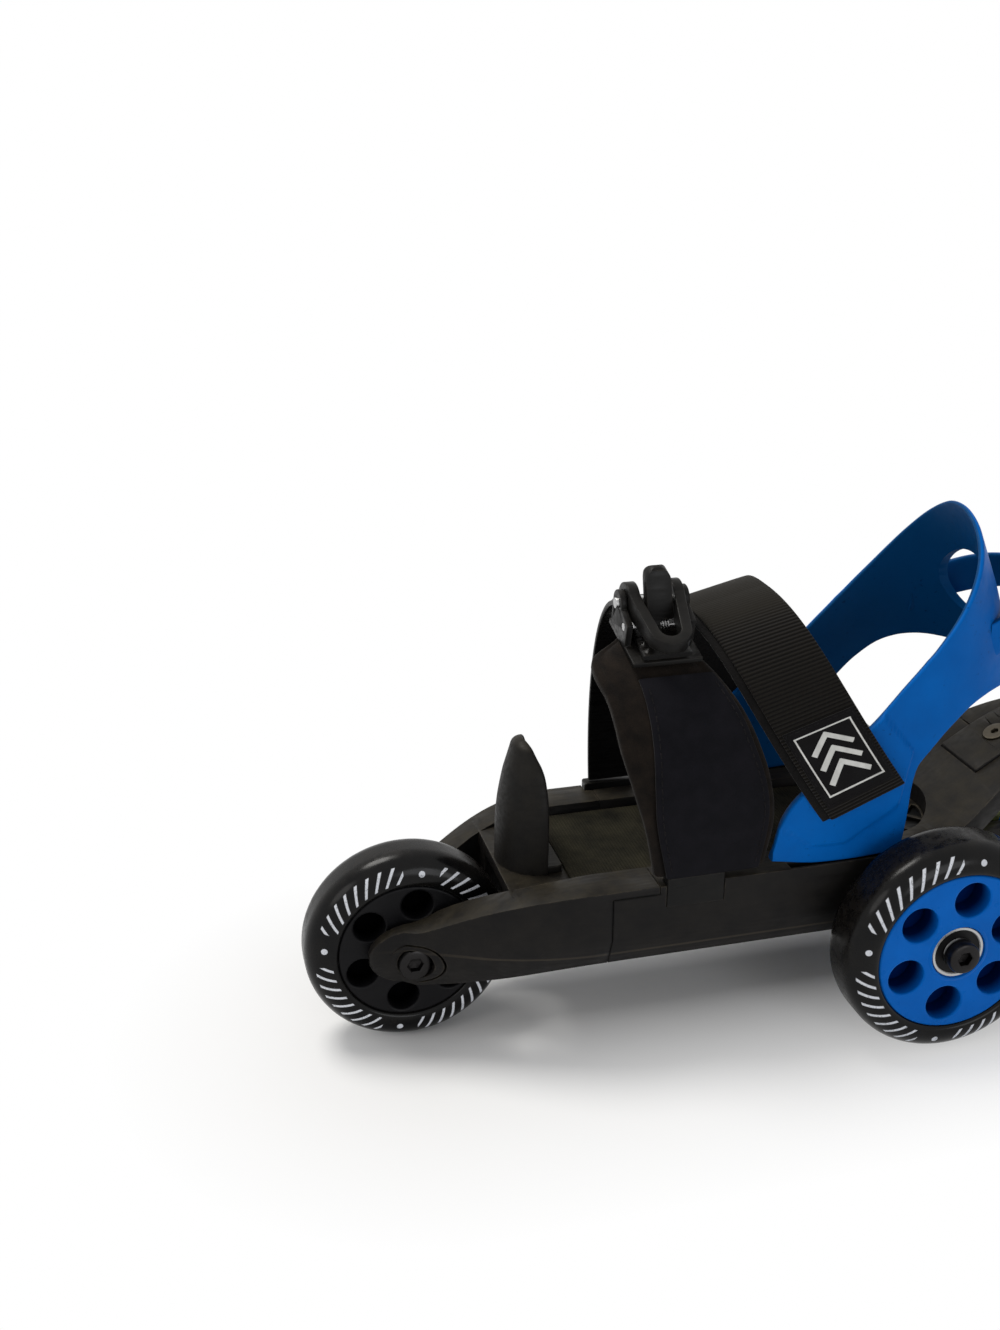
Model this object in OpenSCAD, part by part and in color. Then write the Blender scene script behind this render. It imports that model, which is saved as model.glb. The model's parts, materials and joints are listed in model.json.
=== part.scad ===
// Strap-on platform roller skate: a fork wheel in front, two side wheels at the heel, a braked wheel behind.
// Millimetres. Toe towards -X, left side towards -Y, +Z up, ground at z = 0.

/* [Wheels] */
// Diameter of the front wheel
front_wheel_d = 82; // [78:1:84]
// Width of the front tyre
front_tyre_w = 24; // [22:0.5:26]
// Diameter of the front hub
front_hub_d = 57; // [52:0.5:60]
// Diameter of each side wheel
side_wheel_d = 90; // [84:1:94]
// Width of each side tyre
side_tyre_w = 26; // [24:0.5:28]
// Diameter of each side hub
side_hub_d = 66.4; // [60:0.2:70]
// Diameter of the rear brake wheel
rear_wheel_d = 72; // [68:1:76]
// Width of the rear tyre
rear_tyre_w = 24; // [22:0.5:26]
// Diameter of the rear hub
rear_hub_d = 53.6; // [50:0.2:56]
// Rounding of the tyre shoulders
shoulder_r = 9; // [6:0.5:10]
// How far each hub face lies inside the tyre face
hub_inset = 0.8; // [0.4:0.1:1.5]
// Radius of the large round holes in the front and side hubs
hub_hole_r = 7.4; // [5:0.2:7.6]
// Number of large holes in a hub
hub_holes = 6; // [4:1:6]

/* [Bearings and axles] */
// Outer diameter of a bearing
bearing_od = 22; // [20:0.5:23]
// Width of a bearing
bearing_w = 7; // [6:0.5:8]
// Diameter of the axle bolts
axle_d = 8; // [7:0.5:9]
// Diameter of an axle bolt head
bolt_head_d = 13; // [12:0.5:14]
// Thickness of an axle bolt head
bolt_head_t = 4.5; // [4:0.25:5.5]
// Outer diameter of the tube between two bearings
spacer_d = 11.4; // [10.5:0.1:12]

/* [Layout] */
// Distance from the front axle to the side axle
wheelbase = 203; // [196:1:215]
// Distance from the side axle to the rear axle
rear_reach = 77; // [74:0.5:82]
// Height of the rear wheel above the ground
rear_lift = 20; // [16:0.5:24]
// Distance between the middles of the side wheels
track = 120; // [119:0.5:126]

/* [Platform] */
// Width over the platform rails
platform_w = 91; // [86:0.5:91.5]
// Width of the deck between the rails
deck_w = 59; // [54:0.5:61]
// Height of the rail tops above the ground
platform_top = 75.5; // [73:0.5:78]
// Depth of the deck below the rail tops
deck_recess = 5; // [4:0.25:6]
// Height of the rails
rail_h = 33.5; // [31:0.5:35]
// Height of the bevel along the lower outer edge
bevel_h = 13; // [8:0.5:16]
// How far the bevel runs inwards
bevel_in = 5.5; // [3:0.25:7]
// Distance from the side axle to the split between front and rear frames
split_reach = 131.5; // [128:0.5:134]
// Thickness of the lip that laps over the rear frame
lip_t = 3; // [2:0.25:3.5]
// Length of the lapping lip
lip_len = 18.5; // [14:0.5:19]
// Length of the deck plate that laps over the rear frame
deck_lap = 40; // [34:1:42]
// Thickness of the grip pads
pad_t = 1.5; // [1:0.25:2]

/* [Front fork] */
// Outer width of the fork at the axle
fork_w = 40; // [38:0.5:43]
// Inner width of the fork at the axle
fork_gap = 27; // [26.5:0.25:28]
// Length of the fork's nose before the axle
fork_nose = 17.5; // [15:0.5:19]
// Height of the fork's nose
fork_nose_h = 25.4; // [23:0.2:28]
// Half length of the oval ring groove around the axle bolt
boss_r = 11.3; // [9:0.1:12]
// Length travel of the front frame
length_travel = 30; // [15:1:35]
// Width of the sliding tongue
tongue_w = 50; // [40:1:52]
// Thickness of the sliding tongue
tongue_t = 5.5; // [4:0.25:6]
// Distance of the lock screw behind the split
lock_reach = 45; // [40:1:50]

/* [Toe post] */
// Height of the toe post above the deck
post_h = 52; // [45:1:58]
// Half width of the toe post at its foot
post_r = 17.5; // [14:0.5:18]
// Depth of the toe post from front to back
post_depth = 16.2; // [14:0.2:17]
// Wall of the toe post
post_wall = 4; // [3:0.25:5]
// Distance of the toe post's axis behind the front axle
post_back = 53.5; // [52:0.5:56]

/* [Tail and fender] */
// Half width of the tail at its end
tail_end_hw = 14; // [13:0.5:18]
// Height of the tail's end above the rail tops
tail_rise = 33.5; // [30:0.5:38]
// Distance of the fender end behind the side axle
fender_reach = 91; // [88:0.5:95]
// Distance of the fender split behind the side axle
fender_split = 49.5; // [47:0.5:52]
// Thickness of the tail's top wall
tail_wall = 4.5; // [3.5:0.25:5.5]
// Depth of the tail's side skirts
skirt_h = 11; // [8:0.5:13]
// Outer width of the rear fork
rear_fork_w = 40; // [38:0.5:43]
// Inner width of the rear fork
rear_fork_gap = 27; // [26.5:0.25:28]
// Radius of the rear fork ends
rear_tip_r = 11.5; // [10:0.5:13]
// Width of the joining key plate
key_w = 28; // [22:0.5:29]
// Length of the joining key plate
key_len = 31; // [26:1:34]

/* [Heel cup] */
// Wall of the heel cup
cup_wall = 4.2; // [3.5:0.1:4.6]
// Height of the cup's arch above the ground
cup_top = 203; // [190:1:212]
// Outer half width of the cup at the rails
cup_hw = 44.2; // [43.5:0.1:44.6]
// Half height of the hole in the back of the cup
cup_hole_hh = 17.9; // [14:0.1:19]
// Half width of the hole in the back of the cup
cup_hole_hw = 20.4; // [16:0.1:22]
// Height of the pull loop
loop_w = 15; // [12:0.5:18]
// Thickness of the pull loop
loop_t = 3.6; // [3:0.1:4.5]
// Length of the cup's foot along the rail
cup_foot_len = 44; // [36:1:46]

/* [Straps] */
// Thickness of the padded toe cuff
cuff_t = 7; // [5:0.25:8]
// Height of the toe arch above the rail tops
arch_h = 85; // [80:1:92]
// Thickness of the overlay panel on the cuff
overlay_t = 1.8; // [1.2:0.1:2.4]
// Width of the ladder strap
ladder_w = 19; // [16:0.5:20]
// Thickness of the ladder strap
ladder_t = 2.4; // [2:0.1:2.8]
// Number of ladder teeth
ladder_teeth = 14; // [8:1:18]
// Width of the instep strap
instep_w = 32; // [28:0.5:34]
// Thickness of the instep strap
instep_t = 2.6; // [2:0.1:3]
// Height of the instep strap's top above the rail tops
instep_h = 96; // [94:0.5:108]
// Length of a strap base tab
tab_len = 23; // [19:0.5:24]

/* [Buckle] */
// Width over the buckle cheeks
buckle_w = 27; // [26:0.5:29]
// Length of the buckle lever
lever_len = 28.5; // [27:0.5:34]
// Diameter of the buckle pins
buckle_pin_d = 4; // [3:0.25:4.5]

/* [Clearances] */
// Gap between sliding or separate pieces
slide_gap = 0.3; // [0.2:0.05:0.4]
// Radial running clearance of axles and pins
run_gap = 0.05; // [0.02:0.01:0.09]
// Gap between a turning face and a fixed face
face_gap = 0.2; // [0.1:0.05:0.4]

/* [Hidden] */
$fn = 64;
eps = 0.01;

// Colours
BLACK = "#26262a";
SOFT_BLACK = "#1b1b1e";
BLUE = "#0a5fc8";
STEEL = "#b9bcc2";
SMOKE = "#5d6b3c";

// Places of the axles, with the whole skate centred on the origin
front_r = front_wheel_d / 2;
side_r = side_wheel_d / 2;
rear_r = rear_wheel_d / 2;
total_len = front_r + wheelbase + rear_reach + rear_r;
front_x = front_r - total_len / 2;
side_x = front_x + wheelbase;
rear_x = side_x + rear_reach;
rear_z = rear_lift + rear_r;
bolt_r = axle_d / 2 - run_gap;
washer_t = 1;
hole_phase = 20.5;

// Platform
rail_hw = platform_w / 2;
deck_hw = deck_w / 2;
deck_z = platform_top - deck_recess;
rail_bottom = platform_top - rail_h;
bevel_z = rail_bottom + bevel_h;
split_x = side_x - split_reach;
lip_end = split_x + lip_len;
bridge_x = front_x + 36.5;
groove_w = 0.9;
groove_deep = 0.6;
head_gap = 0.4;
front_head_sink = 2.5;
rear_head_sink = 2;
pad_side = 1.5;
front_hub_web = 2.4;
side_hub_web = 2;
rear_holes = 12;
bearing_sink = 0.3;
// Open cells under the rear floor as [start behind the split, length]
floor_cells = [[30, 26], [60, 42]];
cell_side = 12;
deck_end = split_x + deck_lap;
pocket_x = side_x - 11;
chassis_end = side_x + 26;
under_lip = lip_t + slide_gap;

// Sliding tongue under the deck
tongue_top = deck_z - 5.4;
tongue_z = tongue_top - tongue_t;
tongue_len = lock_reach + length_travel + 10;
lock_x = split_x + lock_reach;
lock_r = 3;
lock_head_r = 6;
lock_head_t = 3.5;
floor_t = 4;
floor_z = tongue_z - slide_gap - floor_t;

// Tail: plan half width and top line as curves from the rails to the fender end
tail_x = side_x - 10;
tail_end = side_x + fender_reach;
split_gap = 0.6;
fender_x = side_x + fender_split;
tail_plan = [[tail_x, rail_hw], [side_x + 8, rail_hw - 1], [side_x + 46, tail_end_hw + 12],
    [tail_end, tail_end_hw]];
tail_line = [[tail_x, platform_top], [side_x + 24.5, platform_top - 8],
    [side_x + 46.5, platform_top + tail_rise + 3], [tail_end, platform_top + tail_rise]];
lip_out = 6;
lip_drop = 5;
key_x = fender_x - 13;
key_end = key_x + key_len;
key_sink = 2.4;
key_proud = 1.2;
key_bolt_x = fender_x + 3.5;
key_bolt_r = 2.5;
key_head_r = 5;
key_head_t = 2.2;
key_bolt_len = 8;

// Heel cup: plan radius, edges and slots
cup_front = side_x - 67;
cup_mid = side_x - 6;
cup_back = side_x + 58.5;
cup_lean = 0.45;
cup_narrow = 0.07;
cup_lean_z = platform_top + 52.5;
cup_narrow_z = platform_top + 20;
cup_base = platform_top + face_gap;
cup_foot_x = cup_front + 8;
cup_foot_depth = 9;
cup_straight = cup_mid - cup_front;
cup_arc = 78;
cup_run = cup_straight + cup_arc;
cup_rise = cup_top - platform_top;
cup_hole_z = cup_top - 38.5;
cup_gap = 0.25;
cup_flange_in = cup_hw - cup_wall - 8;
cup_flange_out = rail_hw - bevel_in - 2;
cup_flange_t = 3.2;
cup_roof_z = platform_top - cup_foot_depth + cup_flange_t + cup_gap;
cup_screw_r = 1.6;
cup_screw_head_r = 2.6;
cup_screw_head_t = 2;
cup_screw_bite = 4;

// Toe strap arch in the plane across the foot, from the left rail over the top
strap_seat = 0.95;
tab_high = platform_top + 3;
cuff_y = rail_hw - 4;
cuff_z = tab_high + strap_seat;
arch_z = platform_top + arch_h;
cuff_path = [[-cuff_y, cuff_z], [-cuff_y - 7, cuff_z + 51], [-cuff_y + 3.5, arch_z + 4], [14, arch_z]];
cuff_x = side_x - 94;
// Front and rear edges of the cuff and its overlay from cuff_x, by share of the arch
cuff_front = [[0, -20.5], [0.126, -24.5], [0.25, -29.3], [0.39, -33.8], [0.5, -35.4], [0.6, -36.8],
    [0.68, -38.8], [0.75, -38.8], [0.78, -37], [0.805, -33.2], [0.84, -27.6], [0.88, -23.4], [0.93, -20.4], [1, -18]];
cuff_rear = [[0, 24], [0.126, 26.2], [0.25, 24.2], [0.39, 19.2], [0.5, 14.6], [0.63, 8], [0.73, 2.8],
    [0.8, -0.4], [0.88, -3], [1, -5]];
overlay_front = [[0, -16.5], [0.148, -21.3], [0.25, -22.4], [0.39, -22.6], [0.47, -22.8], [0.57, -23.4],
    [0.64, -24.2]];
overlay_rear = [[0, 20.6], [0.148, 22.8], [0.25, 21.2], [0.39, 16], [0.47, 13], [0.57, 8.2], [0.64, 4.6]];
overlay_end = 0.64;
layer_gap = 0.1;
overlay_lift = cuff_t / 2 + overlay_t / 2 + layer_gap;
tab_y = rail_hw - 5.2;
tab_low = platform_top - 9;
tab_pin_r = 1.75;
cuff_tab_x = side_x - 98.5;
ladder_tab_x = side_x - 104.5;

// Buckle, in its own axes on the arch: x along the skate, y up the strap, z out of it
buckle_t = 0.8;
buckle_at = bez(cuff_path, buckle_t);
buckle_slope = bez_angle(cuff_path, buckle_t);
buckle_x = side_x - 106.5;
buckle_lift = cuff_t / 2 + slide_gap;
plate_t = 2;
plate_low = -15;
plate_high = 15;
cheek_t = 2.4;
cheek_low = -4;
cheek_high = 14;
pin_r = buckle_pin_d / 2;
pin_y = 9;
pin_z = 13;
cheek_in = buckle_w / 2 - cheek_t;
lever_arm_out = cheek_in - slide_gap;
lever_arm_w = 4.2;
lever_arm_in = lever_arm_out - lever_arm_w;
lever_boss_r = 7.5;
lever_end_r = 8.5;
lever_end_t = 5;
lever_tilt = 5;
pawl_pin_y = 0;
pawl_pin_z = 8.2;
pawl_pin_r = 1.5;
pawl_hw = lever_arm_in - 1.7;
pawl_barrel_r = 2.8;
pawl_neck = 3.4;
ladder_lift = plate_t + slide_gap + ladder_t / 2;
ladder_tooth_h = 1.1;
tooth_tip = plate_t + slide_gap + ladder_t + slide_gap;
spring_turns = 3;
spring_pitch = 1.1;
spring_wire_r = 0.32;
spring_r = pawl_pin_r + 0.6;
spring_clear = spring_r + spring_wire_r + slide_gap;
spring_room = spring_turns * spring_pitch + 2 * spring_wire_r + 2 * slide_gap;

// Ladder strap: from inside the buckle over the arch to the right rail
ladder_start = to_arch(-14, ladder_lift);
ladder_bend = to_arch(16, ladder_lift);
ladder_push = to_arch(42, ladder_lift);
ladder_foot = [rail_hw - 3.2, tab_high + strap_seat];
ladder_path = [ladder_bend, ladder_push, [ladder_foot[0] + 5, ladder_foot[1] + 55], ladder_foot];
ladder_centre = [buckle_x, buckle_x, ladder_tab_x];

// Instep strap: leaning plane over the foot, ends outside the cup
instep_y = cup_hw + slide_gap + instep_t / 2;
instep_foot_z = platform_top + 26;
instep_top_z = platform_top + instep_h;
instep_path = [[-instep_y, instep_foot_z], [-instep_y - 2.5, instep_foot_z + 52],
    [-instep_y + 14, instep_top_z + 1], [0, instep_top_z]];
instep_foot_x = side_x - 30.2;
instep_top_x = side_x - 71.6;
instep_lean = [22, 13];
instep_curve = 0.22;
label_t = 0.6;
label_ends = [0.03, 0.27];

// Curves
function bez(p, t) = pow(1 - t, 3) * p[0] + 3 * pow(1 - t, 2) * t * p[1] + 3 * (1 - t) * t * t * p[2]
    + pow(t, 3) * p[3];
function bez_rate(p, t) = 3 * pow(1 - t, 2) * (p[1] - p[0]) + 6 * (1 - t) * t * (p[2] - p[1])
    + 3 * t * t * (p[3] - p[2]);
function bez_angle(p, t) = let(d = bez_rate(p, t)) atan2(d[1], d[0]);
function bez_points(p, t0, t1, n) = [for (i = [0 : n]) bez(p, t0 + (t1 - t0) * i / n)];
function bow(p, t) = pow(1 - t, 2) * p[0] + 2 * (1 - t) * t * p[1] + t * t * p[2];
function shifted(points, d) = [for (q = points) q + d];
function backwards(points) = [for (i = [len(points) - 1 : -1 : 0]) points[i]];
// Parameter of a curve at a given first coordinate, which grows along the curve
function bez_at(p, x, lo = 0, hi = 1, n = 24) = n == 0 ? (lo + hi) / 2
    : let(m = (lo + hi) / 2) bez(p, m)[0] < x ? bez_at(p, x, m, hi, n - 1) : bez_at(p, x, lo, m, n - 1);
// Point of the arch plane from the buckle's own height and depth
function to_arch(y, z) = buckle_at
    + [(y) * cos(buckle_slope) - (z + buckle_lift) * sin(buckle_slope),
       (y) * sin(buckle_slope) + (z + buckle_lift) * cos(buckle_slope)];

// Solid skin over closed rings of equal length, with its ends closed by strips
module skin(rings) {
    n = len(rings);
    m = len(rings[0]);
    points = [for (r = rings) each r];
    sides = [for (i = [0 : n - 2], j = [0 : m - 1])
        let(a = i * m + j, b = i * m + (j + 1) % m) each [[a, b, b + m], [a, b + m, a + m]]];
    first_end = [for (i = [0 : m / 2 - 2]) each [[i + 1, i, m - 1 - i], [i + 1, m - 1 - i, m - 2 - i]]];
    last = (n - 1) * m;
    last_end = [for (i = [0 : m / 2 - 2])
        let(a = last + i, b = last + m - 1 - i) each [[a, a + 1, b], [a + 1, b - 1, b]]];
    polyhedron(points, concat(sides, first_end, last_end));
}

// Rounded band section: half width along x, half thickness along the path's normal
function band_ring(x, y, z, angle, hw, ht, sides) = [for (k = [0 : sides - 1])
    let(a = 180 / sides + 360 * k / sides,
        u = hw * sign(cos(a)) * pow(abs(cos(a)), 0.35),
        v = ht * sign(sin(a)) * pow(abs(sin(a)), 0.35))
    [x + u, y - v * sin(angle), z + v * cos(angle)]];

// Extrusions of a profile along x, from (y, z) points, and along y, from (x, z) points
module along_x(x0, x1) {
    translate([x0, 0, 0]) rotate([90, 0, 90]) linear_extrude(x1 - x0) children();
}
module along_y(y0, y1) {
    translate([0, y1, 0]) rotate([90, 0, 0]) linear_extrude(y1 - y0) children();
}
module rod_y(r, y0, y1) {
    translate([0, y1, 0]) rotate([90, 0, 0]) cylinder(r = r, h = y1 - y0);
}
module rod_x(r, x0, x1) {
    translate([x0, 0, 0]) rotate([0, 90, 0]) cylinder(r = r, h = x1 - x0);
}
module both_sides() {
    children();
    mirror([0, 1, 0]) children();
}

// Section of the platform across the skate, with its top lowered by a drop
module platform_section(drop) {
    inner = deck_hw + drop;
    polygon([[-rail_hw, bevel_z], [-rail_hw, platform_top - drop], [-inner, platform_top - drop],
        [-inner, deck_z - drop], [inner, deck_z - drop], [inner, platform_top - drop],
        [rail_hw, platform_top - drop], [rail_hw, bevel_z], [rail_hw - bevel_in, rail_bottom],
        [bevel_in - rail_hw, rail_bottom]]);
}

// Wheels, turning about the y axis through the origin
module tyre(r, w, bore_r) {
    hw = w / 2;
    core = r - shoulder_r;
    rotate([90, 0, 0]) rotate_extrude() {
        translate([bore_r, -hw + shoulder_r]) square([r - bore_r, w - 2 * shoulder_r]);
        translate([bore_r, -hw]) square([core - bore_r, w]);
        for (s = [-1, 1])
            intersection() {
                translate([core, s * (hw - shoulder_r)]) circle(r = shoulder_r);
                translate([core, -hw]) square([shoulder_r, w]);
            }
    }
}

module hub(r, w) {
    hw = w / 2 - hub_inset;
    difference() {
        rod_y(r, -hw, hw);
        rod_y(spacer_d / 2 + 1, -hw - 1, hw + 1);
        both_sides() rod_y(bearing_od / 2, hw - bearing_w - bearing_sink, hw + 1);
        children();
    }
}

// Radius of the ring of holes between the bearing seat and the hub's rim
function hub_hole_ring(d) = (d + bearing_od) / 4 + 0.55;

module ring_of_holes(count, at_r, hole_r, w) {
    for (i = [0 : count - 1])
        rotate([0, -hole_phase - 360 * i / count, 0]) translate([at_r, 0, 0]) rod_y(hole_r, -w, w);
}

// Two sealed bearings, each with a slightly sunk shield between its races
module bearing_pair(w) {
    outer = w / 2 - hub_inset - bearing_sink;
    race = 2;
    for (s = [-1, 1])
        translate([0, s * (outer - bearing_w / 2), 0]) difference() {
            rod_y(bearing_od / 2, -bearing_w / 2, bearing_w / 2);
            rod_y(axle_d / 2, -bearing_w, bearing_w);
            for (q = [-1, 1])
                translate([0, q * bearing_w / 2, 0]) difference() {
                    rod_y(bearing_od / 2 - race, -0.4, 0.4);
                    rod_y(axle_d / 2 + race, -1, 1);
                }
        }
}

// Tube between the bearings
module bearing_tube(w) {
    half = w / 2 - hub_inset - bearing_sink - bearing_w - face_gap;
    difference() {
        rod_y(spacer_d / 2, -half, half);
        rod_y(bolt_r + run_gap, -w, w);
    }
}

// Collar from a bearing's outer face to a fork wall at distance reach
module collar(w, reach) {
    start = w / 2 - hub_inset - bearing_sink + face_gap;
    difference() {
        rod_y(spacer_d / 2 + 0.6, start, reach);
        rod_y(bolt_r + run_gap, start - 1, reach + 1);
    }
}

// Socket-head bolt: head against y = seat, pointing to +y
module socket_bolt(seat, end) {
    socket_r = 2.6;
    socket_deep = 2.6;
    difference() {
        union() {
            rod_y(bolt_head_d / 2, seat - bolt_head_t, seat);
            rod_y(bolt_r, seat - eps, end);
        }
        translate([0, seat - bolt_head_t - eps, 0]) rotate([-90, 0, 0])
            cylinder(r = socket_r, h = socket_deep, $fn = 6);
    }
}

module hex_nut(y0, y1) {
    difference() {
        translate([0, y1, 0]) rotate([90, 0, 0]) cylinder(r = bolt_head_d / 2, h = y1 - y0, $fn = 6);
        rod_y(bolt_r + run_gap, y0 - 1, y1 + 1);
    }
}

// Rear frame
module tail_plan_area(inset, x0, x1) {
    t0 = bez_at(tail_plan, x0);
    t1 = bez_at(tail_plan, x1);
    edge = shifted(bez_points(tail_plan, t0, t1, 14), [0, -inset]);
    polygon(concat(edge, [for (q = backwards(edge)) [q[0], -q[1]]]));
}

// Side outline between two lines that follow the tail's top, from high to low offsets
module tail_side_area(high, low, x0, x1) {
    t0 = bez_at(tail_line, x0);
    t1 = bez_at(tail_line, x1);
    edge = bez_points(tail_line, t0, t1, 16);
    polygon(concat(shifted(edge, [0, high]), backwards(shifted(edge, [0, low]))));
}

// Hollow tail between two stations, with a top wall and two skirts
module tail_shell(x0, x1) {
    skirt_w = 3.4;
    difference() {
        intersection() {
            linear_extrude(cup_top) tail_plan_area(0, x0, x1);
            along_y(-rail_hw, rail_hw) tail_side_area(0, -skirt_h, x0, x1);
        }
        intersection() {
            linear_extrude(cup_top) tail_plan_area(skirt_w, max(x0, chassis_end), x1 + 1);
            along_y(-rail_hw, rail_hw)
                tail_side_area(-tail_wall, -skirt_h - 10, max(x0, chassis_end), x1 + 1);
        }
    }
}

module key_recess(gap) {
    along_y(-key_w / 2 - gap, key_w / 2 + gap)
        tail_side_area(20, -key_sink - gap, key_x - gap, key_end + gap);
}

module side_axle_seat() {
    bearing_face = track / 2 - side_tyre_w / 2 + hub_inset + 0.3;
    translate([side_x, 0, side_r]) rod_y(13, rail_hw - 30, rail_hw);
    translate([side_x, 0, side_r]) rod_y(spacer_d / 2 + 0.6, rail_hw - 1, bearing_face - face_gap);
}

module rear_fork_arm() {
    root_x = chassis_end - 6;
    along_y(rear_fork_gap / 2, rear_fork_w / 2) {
        polygon([[root_x, rail_bottom + 1], [rear_x, rear_z - rear_tip_r], [rear_x, rear_z + rear_tip_r],
            [root_x, rail_bottom + 22]]);
        translate([rear_x, rear_z]) circle(r = rear_tip_r);
    }
}

module tongue_channel() {
    half = tongue_w / 2 + slide_gap;
    translate([split_x - 1, -half, tongue_z - slide_gap])
        cube([tongue_len + slide_gap + 1, 2 * half, tongue_t + 2 * slide_gap]);
}

// Slot in the rail for the cup's wall, and the hollow below it for the foot's flange, open underneath
module cup_slot() {
    foot_z = platform_top - cup_foot_depth;
    translate([cup_foot_x - cup_gap, 0, 0]) {
        translate([0, cup_hw - cup_wall - cup_gap, foot_z - cup_gap])
            cube([cup_foot_len + 2 * cup_gap, cup_wall + 2 * cup_gap, cup_foot_depth + 1]);
        translate([0, cup_flange_in - cup_gap, foot_z - cup_gap])
            cube([cup_foot_len + 2 * cup_gap, cup_hw - cup_flange_in - 1, cup_roof_z - foot_z + cup_gap]);
        translate([0, cup_flange_in - cup_gap, rail_bottom - 1])
            cube([cup_foot_len + 2 * cup_gap, cup_flange_out - cup_flange_in, cup_roof_z - rail_bottom]);
    }
}

module cup_screw_places() {
    for (k = [0.25, 0.75])
        translate([cup_foot_x + k * cup_foot_len, (cup_flange_in + cup_flange_out) / 2,
            platform_top - cup_foot_depth])
            children();
}

module tab_notch(x, side) {
    gap = 0.25;
    y0 = side > 0 ? tab_y - gap : -rail_hw - 1;
    translate([x - tab_len / 2 - gap, y0, tab_low - 0.1])
        cube([tab_len + 2 * gap, rail_hw - tab_y + gap + 1, rail_h]);
}

module pin_bore(x, side, r) {
    pin_len = tab_len + 12;
    translate([x, side * (tab_y + rail_hw) / 2, tab_low + 3]) rod_x(r, -pin_len / 2, pin_len / 2);
}

module rear_chassis() color(BLACK) difference() {
    union() {
        along_x(split_x + slide_gap, lip_end + slide_gap) platform_section(under_lip);
        along_x(lip_end + slide_gap, pocket_x) platform_section(0);
        difference() {
            union() {
                along_x(pocket_x - 1, tail_x) platform_block();
                intersection() {
                    along_x(tail_x, chassis_end) platform_block();
                    linear_extrude(cup_top) tail_plan_area(0, tail_x, chassis_end);
                }
                tail_shell(tail_x, fender_x);
            }
            translate([pocket_x, 0, deck_z]) cylinder(r = deck_hw, h = cup_top);
        }
        both_sides() side_axle_seat();
        both_sides() rear_fork_arm();
    }
    tongue_channel();
    translate([lip_end, -deck_hw, deck_z - under_lip])
        cube([deck_end - lip_end + slide_gap, deck_w, under_lip + 1]);
    for (span = floor_cells)
        translate([split_x + span[0], -rail_hw + cell_side, rail_bottom - 1])
            cube([span[1], platform_w - 2 * cell_side, floor_z - rail_bottom + 1]);
    translate([lock_x, 0, floor_z - 1]) cylinder(r = lock_r + run_gap, h = deck_z - floor_z);
    key_recess(0.2);
    both_sides() cup_slot();
    both_sides() cup_screw_places()
        cylinder(r = cup_screw_r + run_gap, h = cup_flange_t + cup_gap + cup_screw_bite);
    tab_notch(cuff_tab_x, -1);
    tab_notch(ladder_tab_x, 1);
    pin_bore(cuff_tab_x, -1, tab_pin_r + run_gap);
    pin_bore(ladder_tab_x, 1, tab_pin_r + run_gap);
    both_sides() translate([side_x, 0, side_r]) rod_y(bolt_r + run_gap, rail_hw - 22, rail_hw + 20);
    translate([rear_x, 0, rear_z]) rod_y(bolt_r + run_gap, -rear_fork_w, rear_fork_w);
    both_sides() translate([rear_x, 0, rear_z])
        rod_y(bolt_head_d / 2 + head_gap, rear_fork_w / 2 - rear_head_sink, rear_fork_w);
}

// Section without the deck, for the solid ground of the heel
module platform_block() {
    polygon([[-rail_hw, bevel_z], [-rail_hw, platform_top], [rail_hw, platform_top], [rail_hw, bevel_z],
        [rail_hw - bevel_in, rail_bottom], [bevel_in - rail_hw, rail_bottom]]);
}

module length_lock_screw() color(STEEL) translate([lock_x, 0, 0]) difference() {
    union() {
        translate([0, 0, floor_z - lock_head_t]) cylinder(r = lock_head_r, h = lock_head_t);
        translate([0, 0, floor_z - eps]) cylinder(r = lock_r, h = tongue_top + slide_gap - floor_z);
    }
    translate([0, 0, floor_z - lock_head_t - eps]) cylinder(r = 2.6, h = 2.4, $fn = 6);
}

// Front frame: two rails that run together to the fork, a deck, a lapping lip and a tongue
nose_z = front_r + 2;
nose_high = nose_z + fork_nose_h / 2;
nose_low = nose_z - fork_nose_h / 2;
rail_outer = [[front_x - fork_nose, fork_w / 2], [front_x + 12.5, fork_w / 2], [front_x + 32.5, rail_hw],
    [split_x, rail_hw]];
rail_inner = [[front_x + 2.5, fork_gap / 2], [front_x + 22.5, fork_gap / 2], [front_x + 32.5, deck_hw],
    [split_x - 9, deck_hw]];
rail_top_line = [[front_x, nose_high], [front_x + 14, nose_high + 2.5], [front_x + 32, platform_top],
    [split_x, platform_top]];
rail_low_line = [[front_x, nose_low], [front_x + 26, nose_low], [front_x + 42, rail_bottom],
    [split_x, rail_bottom]];

function line_at(p, x) = bez(p, bez_at(p, x))[1];
// Share of the full height in the rounded nose before the axle
function nose_share(x) = x < front_x ? sqrt(1 - pow((front_x - x) / fork_nose, 2)) : 1;
function rail_high(x) = x < front_x ? nose_z + nose_share(x) * fork_nose_h / 2 : line_at(rail_top_line, x);
function rail_low(x) = x < front_x ? nose_z - nose_share(x) * fork_nose_h / 2 : line_at(rail_low_line, x);
function rail_in(x) = x < rail_inner[0][0] ? fork_gap / 2
    : x > rail_inner[3][0] ? deck_hw : line_at(rail_inner, x);
function rail_out(x) = let(root = fork_gap / 2)
    x < front_x ? root + (fork_w / 2 - root) * (0.5 + 0.5 * nose_share(x)) : line_at(rail_outer, x);
// Section of the right rail at x, with the bevel along its lower outer edge
function rail_ring(x) =
    let(i = rail_in(x), o = rail_out(x), hi = rail_high(x), lo = rail_low(x),
        up = min(bevel_h, 0.4 * (hi - lo)), side = bevel_in * up / bevel_h)
    [[x, i, hi], [x, (i + o) / 2, hi], [x, o, hi], [x, o, lo + up], [x, o - side, lo], [x, i, lo]];

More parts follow.
